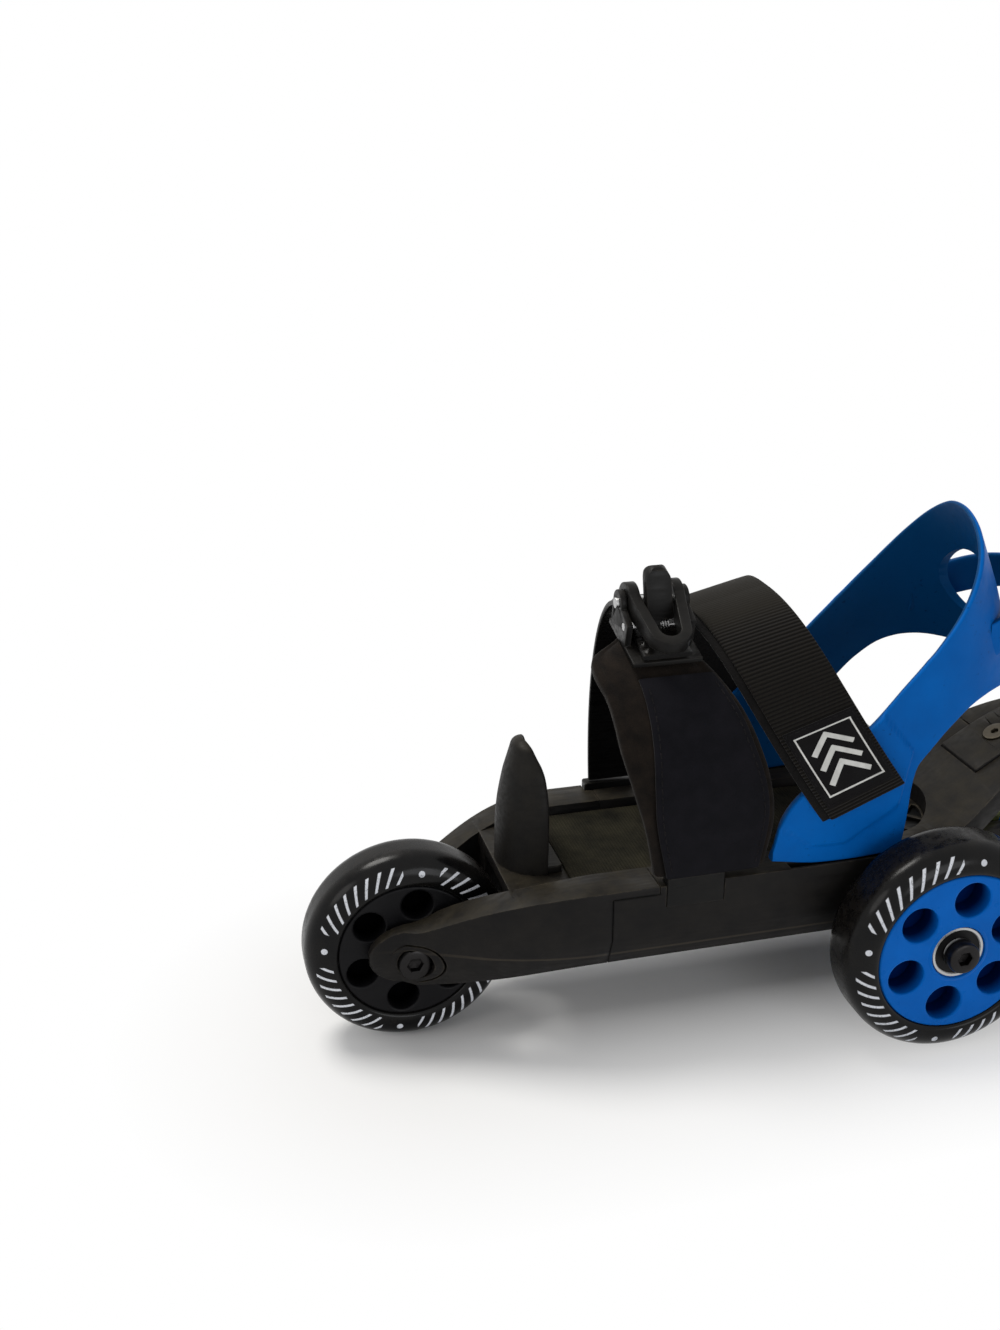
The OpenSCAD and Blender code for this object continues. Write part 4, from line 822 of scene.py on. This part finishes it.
def socket_bolt(prefix, outward, body):
    """Round-headed axle bolt with a hexagon socket; its head stands outwards along y."""
    node = prefix + "_axle_bolt"
    low, high = node_box(node)
    seat = high.y - BOLT_HEAD if outward > 0 else low.y + BOLT_HEAD
    head_r = (high.x - low.x) / 2
    shank = high.y - low.y - BOLT_HEAD
    shank_r = 3.9
    soft = 0.35
    key = 2.7
    floor = BOLT_HEAD - 2.9
    half_face = radians(30)

    def ring(r, y):
        return [(r * cos(a), outward * y, r * sin(a)) for a in turns(48)]

    def hex_ring(flat, y):
        shares = [cos(a % (2 * half_face) - half_face) for a in turns(48)]
        return [(p[0] / share, p[1], p[2] / share) for p, share in zip(ring(flat, y), shares)]

    rings = [ring(shank_r, -shank), ring(shank_r, 0), ring(head_r, 0), ring(head_r, BOLT_HEAD - 1.1),
             ring(head_r - soft, BOLT_HEAD - soft), ring(head_r - 1.1, BOLT_HEAD),
             hex_ring(key + soft, BOLT_HEAD), hex_ring(key, BOLT_HEAD - soft), hex_ring(key, floor),
             ring(0.4, floor - 0.5)]
    place = (AXLES[prefix].x, seat, AXLES[prefix].z)
    made = piece(prefix + "_bolt", loft(rings), body, BLACK_STEEL, place, sharp=35)
    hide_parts(node)


for side_prefix in ("left", "right"):
    side_holes = ring_of(6, 22.6, 7.4)
    wheel(side_prefix, side_holes, HUB_BLUE, printed_tyre(side_prefix), web=2.0)
front_holes = ring_of(6, 20.4, 6.3)
wheel("front", front_holes, HUB_BLACK, printed_tyre("front"), web=2.4)
rear_holes = ring_of(12, 22.2, 2.6) + ring_of(12, 16.2, 2.2, turned=15)
wheel("rear", rear_holes, REAR_HUB_BLUE, SMOKE)
socket_bolt("left", -1, "chassis")
socket_bolt("right", 1, "chassis")
socket_bolt("front", -1, "front_frame")
socket_bolt("rear", -1, "chassis")


# Toe post

POST_X = AXLES["front"].x + 53.5
POST_DEPTH = 16.2
POST_HW = 17.5
POST_H = 52.0
POST_WALL = 4.0
POST_FOOT = 3.0
POST_TOE = 7.0
POST_SHOULDER = 0.94
POST_TURNS = angles(-90, 90, 24)
# Rear edge, depth and half width by share of the height, as shares of the foot's depth and half width
POST_REAR = [(0, 0), (0.53, 0.03), (0.72, 0), (0.81, -0.05), (0.905, -0.175), (0.962, -0.235), (1, -0.27)]
POST_DEEP = [(0, 1), (0.34, 0.99), (0.53, 0.93), (0.72, 0.78), (0.81, 0.65), (0.905, 0.44),
             (0.962, 0.33), (1, 0.25)]
POST_HALF = [(0, 1), (0.34, 1), (0.53, 0.96), (0.72, 0.84), (0.81, 0.73), (0.905, 0.55),
             (0.962, 0.44), (1, 0.33)]


def post_ring(v):
    """Plan of the blade at a share of its height: a curved wall with round rear rims, solid near its top."""
    rear = POST_X + POST_DEPTH * spline(POST_REAR, v)
    deep = POST_DEPTH * spline(POST_DEEP, v)
    half = POST_HW * spline(POST_HALF, v)
    wall = min(POST_WALL, 0.6 * deep)
    rim = wall / 2
    ends = angles(30, 150, 4)
    ring = [(rear - deep * cos(a), half * sin(a)) for a in POST_TURNS]
    ring += [(rear + 0.5 * rim * sin(b), half - rim + rim * cos(b)) for b in ends]
    hollow = (deep - wall) * (1 - smooth(v, 0.8, 0.93))
    ring += [(rear - hollow * cos(a), (half - wall) * sin(a)) for a in reversed(POST_TURNS)]
    ring += [(rear + 0.5 * rim * sin(b), rim - half + rim * cos(b)) for b in ends]
    return [Vector((x, y, DECK_Z + POST_H * v)) for x, y in ring]


def toe_post():
    rings = [post_ring(v) for v in between(0, POST_SHOULDER, 60)]
    for turn in between(0, math.pi / 2, 8)[1:]:
        ring = post_ring(POST_SHOULDER + (1 - POST_SHOULDER) * sin(turn))
        middle = sum(ring, Vector((0, 0, 0))) / len(ring)
        rings.append([middle.lerp(p, max(0.02, cos(turn))) for p in ring])
    blade = piece("toe_post_blade", loft(rings), "front_frame", POST, sharp=60)
    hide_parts("toe_post")

    half = POST_HW - 1
    corner = 2
    corner_x = POST_X + POST_TOE - corner
    outline = [(POST_X - (POST_DEPTH - 1) * cos(a), half * sin(a)) for a in POST_TURNS]
    outline += arc((corner_x, half - corner), corner, 90, 0, 4)
    outline += arc((corner_x, corner - half), corner, 0, -90, 4)
    foot = plate([outline], POST_FOOT / 2, 0.5)
    piece("toe_post_foot", foot, "front_frame", POST, (0, 0, DECK_Z + POST_FOOT / 2))


toe_post()


# Crossed ribs in the pocket under the heel

RIB_PITCH = 11.5
RIB_W = 2.0
RIB_H = 1.5
RIB_RIM = 1.2
SMALLEST_CELL = 4


def clipped(outline, region):
    """Part of an outline inside a convex region, both turning left."""
    for a, b in pairs(region):
        sides = [(b[0] - a[0]) * (p[1] - a[1]) - (b[1] - a[1]) * (p[0] - a[0]) for p in outline]
        kept = []
        for (p, q), (at_p, at_q) in zip(pairs(outline), pairs(sides)):
            if at_p >= 0:
                kept.append(p)
            if at_p * at_q < 0:
                share = at_p / (at_p - at_q)
                kept.append((p[0] + (q[0] - p[0]) * share, p[1] + (q[1] - p[1]) * share))
        outline = kept
    return outline


def area(outline):
    return sum(p[0] * q[1] - q[0] * p[1] for p, q in pairs(outline)) / 2


def pocket_area(inset):
    """Half-round outline of the pocket behind the grip pad."""
    radius = POCKET_R - inset
    start = math.degrees(math.acos((POCKET_START + inset - POCKET_X) / radius))
    return arc((POCKET_X, 0.0), radius, -start, start, 40)


def pocket_ribs():
    half = (RIB_PITCH - RIB_W) / math.sqrt(2)
    step = RIB_PITCH / math.sqrt(2)
    room = pocket_area(RIB_RIM)
    outlines = [pocket_area(0.15)]
    for i in range(-1, 8):
        for j in range(i % 2 - 8, 9, 2):
            x = POCKET_START + step * i
            y = step * j
            cell = clipped([(x + half, y), (x, y + half), (x - half, y), (x, y - half)], room)
            if area(cell) > SMALLEST_CELL:
                outlines.append(cell)
    ribs = plate(outlines, RIB_H / 2, 0.25, 2)
    piece("pocket_ribs", ribs, "chassis", CHASSIS, (0, 0, DECK_Z + RIB_H / 2 + 0.02))


pocket_ribs()


# Heel cup

CUP_WALL = 4.2
CUP_THIN = 1.8
CUP_TOP = node_box("heel_cup")[1].z
CUP_RISE = CUP_TOP - PLATFORM_TOP
CUP_HW = node_size("heel_cup").y / 2
CUP_NARROW = 0.07
CUP_NARROW_Z = PLATFORM_TOP + 20
CUP_FRONT = SIDE_X - 67
CUP_BACK = SIDE_X + 58.5
CUP_LEAN = 0.45
CUP_LEAN_Z = PLATFORM_TOP + 52.5
CUP_STRAIGHT = CUP_MID - CUP_FRONT
CUP_ARC = 78.0
CUP_SHARP = 50
HOLE_Z = CUP_TOP - 38.5
HOLE_R = 17.9
HOLE_WIDE = 20.4
HOLE_ENDS = (60, 125)
# Edges as (share along the straight part, then 1 to 2 round the heel; share of the cup's height)
CUP_UPPER = [(0, 0.063), (0.05, 0.165), (0.21, 0.255), (0.65, 0.437), (0.85, 0.538), (1, 0.614),
             (1.1, 0.678), (1.2, 0.738), (1.3, 0.794), (1.4, 0.844), (1.5, 0.887), (1.6, 0.924),
             (1.7, 0.954), (1.8, 0.978), (1.9, 0.995), (2, 1), (2.1, 0.995)]
CUP_LOWER = [(0, 0.024), (0.33, 0), (0.82, 0.004), (0.885, 0.02), (0.905, 0.08), (0.925, 0.2),
             (0.957, 0.27), (1, 0.302), (1.1, 0.385), (1.2, 0.441), (1.3, 0.469), (1.4, 0.48), (1.5, 0.48),
             (1.65, 0.468), (1.8, 0.441), (1.9, 0.42), (2, 0.412), (2.1, 0.42)]
# Outline of the raised panel on the cup's side, as (distance from the front end, height)
PANEL = [(-2, 21.5), (8.1, 12.8), (16, 7.7), (29.8, 7.4), (51.6, 21), (57.4, 46.6), (45, 57.1), (36, 68),
         (-2, 80)]
PANEL_RISE = 1.2
PANEL_SOFT = 1.1


def cup_reach(z):
    return CUP_BACK - CUP_LEAN * max(0.0, z - CUP_LEAN_Z)


def cup_half(z):
    return CUP_HW - CUP_NARROW * max(0.0, z - CUP_NARROW_Z)


def cup_point(s, z, depth):
    """Point of the cup's outer face at distance s from its left front end, moved inwards by depth."""
    half = cup_half(z)
    if s < CUP_STRAIGHT:
        return (CUP_FRONT + s, -half + depth, z)
    a = radians(90 * (s - CUP_STRAIGHT) / CUP_ARC)
    return (CUP_MID + (cup_reach(z) - CUP_MID - depth) * sin(a), -(half - depth) * cos(a), z)


def cup_edge(table, base, count):
    """An edge of the cup as points of (distance, height)."""
    line = []
    for share in between(0, 2, 400):
        s = share * CUP_STRAIGHT if share < 1 else CUP_STRAIGHT + (share - 1) * CUP_ARC
        line.append(Vector((s, base + CUP_RISE * spline(table, share))))
    return evenly(line, count)


def panel_height(s, z):
    """Rise of the moulded panel under the strap, soft at its outline."""
    up = z - PLATFORM_TOP
    inside = min(((x1 - x0) * (up - z0) - (z1 - z0) * (s - x0)) / math.hypot(x1 - x0, z1 - z0)
                 for (x0, z0), (x1, z1) in pairs(PANEL))
    return PANEL_RISE * smooth(inside, 0, PANEL_SOFT)


def cup_column(low, high):
    """Closed ring through the wall from a point of the lower edge to one of the upper edge."""
    rows = 46
    roll = 1.1
    length = (high - low).length
    steps = [(roll * (1 - cos(a)) / length, roll * (1 - sin(a))) for a in angles(0, 75, 5)]
    middle = [((roll + (length - 2 * roll) * k / rows) / length, 0.0) for k in range(rows + 1)]
    places = steps + middle + [(1 - share, back) for share, back in reversed(steps)]
    spots = [(*low.lerp(high, share), share, back) for share, back in places]
    outer = [cup_point(s, z, back - panel_height(s, z)) for s, z, _, back in spots]
    inner = [cup_point(s, z, CUP_WALL - CUP_THIN * share - back) for s, z, share, back in reversed(spots)]
    return outer + inner


def pull_loop():
    """Loop behind the cup: a strip on edge from one side wall to the other, rising to the back."""
    height = 15.0
    half_t = 1.8
    low = HOLE_Z - 8.5
    rise = 14.0
    lean = 0.5
    half_w = 30.5
    behind = 19
    turn = radians(93)
    reach = (cup_reach(low) - CUP_MID) * math.sqrt(1 - (half_w / cup_half(low)) ** 2)
    x0 = CUP_MID + reach - CUP_WALL / 2
    deep = cup_reach(low + rise) + behind - x0
    rings = []
    for a in between(-turn, turn, 96):
        across, along = sin(a), cos(a)
        run = math.hypot(along * half_w, across * deep)
        rings.append([(x0 + deep * along + v * along * half_w / run - u * lean * along,
                       half_w * across + v * across * deep / run, low + rise * along + u)
                      for u, v in band(height, half_t, 24, 0.4)])
    return loft(rings)


def heel_cup():
    count = 120
    lower = cup_edge(CUP_LOWER, PLATFORM_TOP + 0.3, count)
    upper = cup_edge(CUP_UPPER, PLATFORM_TOP, count)
    left = [cup_column(low, high) for low, high in zip(lower, upper)]
    right = [[(x, -y, z) for x, y, z in ring] for ring in reversed(left[:-1])]
    shell = piece("heel_cup_shell", loft(left + right), "chassis", CUP_BLUE, sharp=CUP_SHARP)
    start, end = HOLE_ENDS
    hole = lathe([(0.01, start), (HOLE_R, start), (HOLE_R, end), (0.01, end)], 64)
    hole.transform(Matrix.Rotation(radians(-90), 4, "Z"))
    hole.transform(Matrix.Translation((0, 0, HOLE_Z * MM)) @ Matrix.Diagonal((1, HOLE_WIDE / HOLE_R, 1, 1)))
    face_outwards(hole)
    cut(shell, hole)
    shade(shell.data, CUP_SHARP)
    round_edges(shell, 0.9, 55, False)
    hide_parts("heel_cup")
    piece("heel_cup_loop", pull_loop(), "chassis", CUP_BLUE, sharp=CUP_SHARP)


heel_cup()


# Toe cuff

CUFF_T = 7.0
STRAP_SEAT = 0.95
ARCH_Z = PLATFORM_TOP + 85
CUFF_X = SIDE_X - 94
CUFF_Y = RAIL_HW - 4
CUFF_Z = TAB_TOP + STRAP_SEAT
CUFF_PATH = [(-CUFF_Y, CUFF_Z), (-CUFF_Y - 7, CUFF_Z + 51), (-CUFF_Y + 3.5, ARCH_Z + 4), (14, ARCH_Z)]
# Front and rear edges from CUFF_X, by share of the arch
CUFF_FRONT = [(0, -20.5), (0.126, -24.5), (0.25, -29.3), (0.39, -33.8), (0.5, -35.4), (0.6, -36.8),
              (0.68, -38.8), (0.75, -38.8), (0.78, -37), (0.805, -33.2), (0.84, -27.6), (0.88, -23.4),
              (0.93, -20.4), (1, -18)]
CUFF_REAR = [(0, 24), (0.126, 26.2), (0.25, 24.2), (0.39, 19.2), (0.5, 14.6), (0.63, 8), (0.73, 2.8),
             (0.8, -0.4), (0.88, -3), (1, -5)]
OVERLAY_FRONT = [(0, -16.5), (0.148, -21.3), (0.25, -22.4), (0.39, -22.6), (0.47, -22.8), (0.57, -23.4),
                 (0.64, -24.2)]
OVERLAY_REAR = [(0, 20.6), (0.148, 22.8), (0.25, 21.2), (0.39, 16), (0.47, 13), (0.57, 8.2), (0.64, 4.6)]
OVERLAY_END = 0.64
OVERLAY_T = 1.8
OVERLAY_LIFT = CUFF_T / 2 + OVERLAY_T / 2 - 0.55
SEAM_INSET = 2.2


def cuff_point(t, x, lift):
    """Point over the arch at t, at x along the skate, at a height over the pad's middle layer."""
    spot = bezier(CUFF_PATH, t)
    a = bezier_slope(CUFF_PATH, t)
    return Vector((x, spot.x - lift * sin(a), spot.y + lift * cos(a)))


def cuff_layer(front, rear, end, steps, section, lift):
    """Layer between two edges over the arch; the section's first offset is a share of the half width."""
    rings = []
    for t in between(0, end, steps):
        x0 = CUFF_X + spline(front, t)
        x1 = CUFF_X + spline(rear, t)
        middle = (x0 + x1) / 2
        half = (x1 - x0) / 2
        rings.append([cuff_point(t, middle + half * u, v + lift) for u, v in section])
    return loft(rings)


def padded_section(half_t):
    """Section of the pad: rolled rims, a sewn groove beside each, and a soft middle."""
    section = []
    for a in turns(56, 0.5):
        u = power(cos(a), 0.5)
        groove = math.exp(-(((abs(u) - 0.8) / 0.05) ** 2))
        fullness = 0.93 + 0.1 * smooth(abs(u), 0.82, 0.92) - 0.22 * groove
        section.append((u, half_t * fullness * power(sin(a), 0.5)))
    return section


def tube(points, radius, count):
    rings = []
    for i, point in enumerate(points):
        ahead = points[min(i + 1, len(points) - 1)] - points[max(i - 1, 0)]
        ahead.normalize()
        side = ahead.orthogonal().normalized()
        up = ahead.cross(side)
        rings.append([point + radius * (side * cos(a) + up * sin(a)) for a in turns(count)])
    return loft(rings)


def stitches(name, points, length, gap, radius):
    """Row of sewn stitches along a line of points."""
    count = int(lengths_along(points)[-1] / (length + gap))
    steps = 6
    line = evenly(points, count * steps)
    made = [tube(line[steps * k : steps * (k + 1) - 1], radius, 6) for k in range(count)]
    piece(name, joined(made), "chassis", STITCH, sharp=60)


def toe_cuff():
    padding = cuff_layer(CUFF_FRONT, CUFF_REAR, 1, 64, padded_section(CUFF_T / 2), 0.0)
    pad = piece("toe_cuff_pad", padding, "chassis", NEOPRENE, sharp=80)
    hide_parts("toe_cuff")

    section = band(2, OVERLAY_T / 2, 36, 0.28)
    sheet = cuff_layer(OVERLAY_FRONT, OVERLAY_REAR, OVERLAY_END, 56, section, OVERLAY_LIFT)
    panel = piece("toe_cuff_panel", sheet, "chassis", OVERLAY, sharp=80)
    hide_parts("cuff_overlay")

    top = OVERLAY_LIFT + OVERLAY_T / 2 + 0.02
    shares = between(0.02, OVERLAY_END - 0.03, 80)
    seams = (("front", OVERLAY_FRONT, SEAM_INSET), ("rear", OVERLAY_REAR, -SEAM_INSET))
    for name, edge, inset in seams:
        line = [cuff_point(t, CUFF_X + spline(edge, t) + inset, top) for t in shares]
        stitches("cuff_" + name + "_stitches", line, 2.2, 1.1, 0.22)


toe_cuff()


# Instep strap

INSTEP_W = 32.0
INSTEP_T = 2.6
INSTEP_Y = CUP_HW + 0.3 + INSTEP_T / 2
INSTEP_FOOT_Z = PLATFORM_TOP + 26
INSTEP_TOP_Z = PLATFORM_TOP + 96
INSTEP_PATH = [(-INSTEP_Y, INSTEP_FOOT_Z), (-INSTEP_Y - 2.5, INSTEP_FOOT_Z + 52),
               (-INSTEP_Y + 14, INSTEP_TOP_Z + 1), (0, INSTEP_TOP_Z)]
INSTEP_FOOT_X = SIDE_X - 30.2
INSTEP_TOP_X = SIDE_X - 71.6
INSTEP_LEAN = (22.0, 13.0)
INSTEP_CURVE = 0.22


def instep_rise(z):
    return (z - INSTEP_FOOT_Z) / (INSTEP_TOP_Z - INSTEP_FOOT_Z)


def instep_point(t, across, lift):
    """Point of the strap: t from 0 at its left end over the foot to 2 at its right end."""
    side = 1 if t <= 1 else -1
    u = t if t <= 1 else 2 - t
    spot = bezier(INSTEP_PATH, u)
    a = bezier_slope(INSTEP_PATH, u)
    y = side * (spot.x - lift * sin(a))
    z = spot.y + lift * cos(a)
    lean = radians(INSTEP_LEAN[0] + (INSTEP_LEAN[1] - INSTEP_LEAN[0]) * instep_rise(spot.y))
    rise = instep_rise(z)
    x = INSTEP_FOOT_X + (INSTEP_TOP_X - INSTEP_FOOT_X) * rise * (1 + INSTEP_CURVE - INSTEP_CURVE * rise)
    return Vector((x + across * cos(lean), y, z + across * sin(lean)))


def strap_layer(name, width, half_t, lift, shift, material):
    section = band(width, half_t, 24, 0.28)
    spots = between(0.0, 2.0, 220)
    mesh = loft([[instep_point(t, u + shift, v + lift) for u, v in section] for t in spots])
    along = lengths_along([instep_point(t, shift, lift) for t in spots])
    store(mesh, "along", [d for d in along for _ in section])
    store(mesh, "across", [u for _ in along for u, _ in section])
    return piece(name, mesh, "chassis", material, sharp=80)


outer_layer = strap_layer("instep_webbing", INSTEP_W, 0.7, 0.6, 0.0, WEBBING)
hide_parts("instep_strap")
strap_layer("instep_webbing_under", INSTEP_W - 1, 0.6, -0.75, -3.6, LOOP_CLOTH)


# Sewn patch near the strap's left end: black cloth, a pale border and plain slanted bars

PATCH_ENDS = (0.03, 0.27)
PATCH_LIFT = INSTEP_T / 2 + 0.35
BORDER_ENDS = (0.115, 0.885)
BORDER_Y = INSTEP_W / 2 - 4.6
BORDER_W = 0.8
CHEVRON_W = 2.6
CHEVRON_TIP = 0.44
CHEVRON_STEP = 0.19
CHEVRON_RUN = 0.22
CHEVRON_REACH = (-0.6, 8.2)
SEWN_ENDS = (0.03, 0.97)
SEWN_Y = INSTEP_W / 2 - 2.4
THREAD_SECTION = ((-1, 0.1), (-0.8, 0.42), (0.8, 0.42), (1, 0.1))


def patch_spot(u, v, lift):
    """Point of the patch: u from 0 at its foot to 1, v in millimetres from its middle line."""
    t = PATCH_ENDS[0] + (PATCH_ENDS[1] - PATCH_ENDS[0]) * u
    return instep_point(t, v, PATCH_LIFT + lift)


def thread_bar(start, end, width):
    """Raised flat bar of thread between two spots of the patch, as (share along, millimetres across)."""
    scale = (patch_spot(1, 0, 0) - patch_spot(0, 0, 0)).length
    direction = Vector(((end[0] - start[0]) * scale, end[1] - start[1])).normalized()
    aside = Vector((-direction.y / scale, direction.x)) * width / 2
    return loft([[patch_spot(u + s * aside.x, v + s * aside.y, high) for s, high in THREAD_SECTION]
                 for u, v in zip(between(start[0], end[0], 8), between(start[1], end[1], 8))])


def label():
    section = band(INSTEP_W - 3, 0.3, 24, 0.25)
    ground = loft([[patch_spot(share, u, v) for u, v in section] for share in between(0, 1, 16)])
    patch = piece("strap_patch", ground, "chassis", LABEL_CLOTH, sharp=60)
    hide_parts("strap_label")

    low, high = BORDER_ENDS
    bars = [thread_bar((low, v), (high, v), BORDER_W) for v in (-BORDER_Y, BORDER_Y)]
    reach = BORDER_Y + BORDER_W / 2
    bars += [thread_bar((u, -reach), (u, reach), BORDER_W) for u in BORDER_ENDS]
    start, end = CHEVRON_REACH
    for k in range(3):
        tip = CHEVRON_TIP + CHEVRON_STEP * k
        foot = tip - CHEVRON_RUN
        bars += [thread_bar((tip, side * start), (foot, side * end), CHEVRON_W) for side in (-1, 1)]
    piece("strap_patch_thread", joined(bars), "chassis", LABEL_WHITE, sharp=30)

    first, last = SEWN_ENDS
    corners = [(first, -SEWN_Y), (last, -SEWN_Y), (last, SEWN_Y), (first, SEWN_Y)]
    line = []
    for (u0, v0), (u1, v1) in pairs(corners):
        line += [patch_spot(u, v, 0.3) for u, v in zip(between(u0, u1, 12), between(v0, v1, 12))]
    stitches("strap_patch_stitches", line, 1.8, 0.8, 0.2)


label()


# Ladder strap

LADDER_W = 19.0
LADDER_HALF_T = 1.2
BUCKLE_X = SIDE_X - 106.5
LADDER_TAB_X = SIDE_X - 104.5
BUCKLE_SHARE = 0.8
TOOTH_PITCH = 4.4
TOOTH_H = 1.15
TOOTH_SIDE = 1.2
TOOTHED_LENGTH = 112.0
UNDER_PAWL = (10, 19)


def ladder_path():
    """Middle line in the plane across the foot: straight in the buckle, then over to the right rail."""
    at = bezier(CUFF_PATH, BUCKLE_SHARE)
    slope = bezier_slope(CUFF_PATH, BUCKLE_SHARE)
    lift = CUFF_T / 2 + 0.3
    height = 2 + 0.3 + LADDER_HALF_T

    def spot(y):
        return (at.x + y * cos(slope) - (height + lift) * sin(slope),
                at.y + y * sin(slope) + (height + lift) * cos(slope))

    foot = (RAIL_HW - 3.2, TAB_TOP + STRAP_SEAT)
    curve = [spot(16), spot(42), (foot[0] + 5, foot[1] + 55), foot]
    points = [(Vector(spot(y)), slope) for y in between(-14, 16, 90)[:-1]]
    return points + [(bezier(curve, t), bezier_slope(curve, t)) for t in between(0, 1, 300)]


def tooth_height(travelled):
    """Height of the teeth at a distance from the strap's free end: a long slope and a short one."""
    if UNDER_PAWL[0] < travelled < UNDER_PAWL[1] or travelled > TOOTHED_LENGTH:
        return 0.0
    rise = (travelled / TOOTH_PITCH) % 1.0
    return TOOTH_H * smooth(min(rise / 0.7, (1 - rise) / 0.3), 0, 1)


def ladder_strap():
    path = ladder_path()
    travels = lengths_along([spot for spot, _ in path])
    places = between(BUCKLE_X, LADDER_TAB_X, len(path) - 1)
    rings = []
    for (spot, a), travelled, x in zip(path, travels, places):
        ring = []
        for u, v in band(LADDER_W, LADDER_HALF_T, 28, 0.3):
            inside = smooth(LADDER_W / 2 - TOOTH_SIDE - abs(u), 0, TOOTH_SIDE)
            out = v + tooth_height(travelled) * inside if v > 0 else v
            ring.append((x + u, spot.x - out * sin(a), spot.y + out * cos(a)))
        rings.append(ring)
    made = piece("ladder_band", loft(rings), "chassis", LADDER, sharp=35)
    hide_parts("ladder_strap")


ladder_strap()


# Floor, light and camera

FLOOR_REACH = 4000
TARGET = Vector((0, 0, 0.08))


def stage():
    corners = [(-1, -1, 0), (1, -1, 0), (1, 1, 0), (-1, 1, 0)]
    floor = add_object("floor", mesh_of([FLOOR_REACH * Vector(c) for c in corners], [(0, 1, 2, 3)]))
    m = Material("floor_white", (0.86, 0.86, 0.86, 1), 0.9, specular=0.1)
    white = m.node("Emission", {"Color": (1, 1, 1, 1), "Strength": 1.0})["Emission"]
    place = m.place()
    beside = m.math("SUBTRACT", m.math("ABSOLUTE", place["X"]), cad_high.x - 0.05)
    distance = m.math("POWER", m.squares(m.math("MAXIMUM", beside, 0.0), place["Y"]), 0.5)
    shown = m.times(m.ramp(distance, 0.01, 0.13), m.seen())
    mixed = m.node("MixShader", {0: shown, 1: m.shader.outputs["BSDF"], 2: white})["Shader"]
    m.feed(m.tree.nodes["Material Output"].inputs["Surface"], mixed)
    floor.data.materials.append(m.material)


def world():
    made = bpy.data.worlds.new("studio")
    bpy.context.scene.world = made
    made.use_nodes = True
    nodes = Nodes(made.node_tree)
    background = made.node_tree.nodes["Background"].inputs
    nodes.feed(background["Color"], (1, 1, 1, 1))
    nodes.feed(background["Strength"], nodes.ramp(nodes.seen(), 0.0, 1.0, 0.3, 1.0))


def area_light(name, place, size, power_w, color):
    data = bpy.data.lights.new(name, "AREA")
    data.shape = "DISK"
    data.size = size
    data.energy = power_w
    data.color = color
    lamp = add_object(name, data)
    lamp.location = place
    lamp.rotation_mode = "QUATERNION"
    lamp.rotation_quaternion = (TARGET - Vector(place)).to_track_quat("-Z", "Y")


def camera():
    """The photograph's camera: where it stands, how it is turned, and its lens."""
    place = Vector((-223.8, -505.3, 358.3)) * MM
    azimuth = radians(-14.01)
    height = radians(21.48)
    roll = radians(-0.40)
    image_height = 1330
    focal_px = 1481.9
    sensor = 36
    back = Vector((sin(azimuth) * cos(height), -cos(azimuth) * cos(height), sin(height)))
    level_right = Vector((cos(azimuth), sin(azimuth), 0))
    level_up = back.cross(level_right)
    right = level_right * cos(roll) + level_up * sin(roll)
    up = level_up * cos(roll) - level_right * sin(roll)
    data = bpy.data.cameras.new("camera")
    data.sensor_fit = "AUTO"
    data.sensor_width = sensor
    data.lens = sensor * focal_px / image_height
    data.clip_start = 0.01
    data.clip_end = 50
    made = add_object("camera", data)
    made.matrix_world = Matrix.Translation(place) @ Matrix((right, up, back)).transposed().to_4x4()
    bpy.context.scene.camera = made


stage()
world()
area_light("key", (-0.5, 0.35, 1.35), 0.6, 14, (1.0, 0.98, 0.94))
area_light("fill", (0.4, -1.5, 0.4), 0.9, 6, (0.95, 0.97, 1.0))
area_light("side", (-1.3, -0.6, 0.8), 0.7, 3, (1.0, 0.97, 0.93))
camera()
bpy.context.scene.view_settings.view_transform = "Standard"
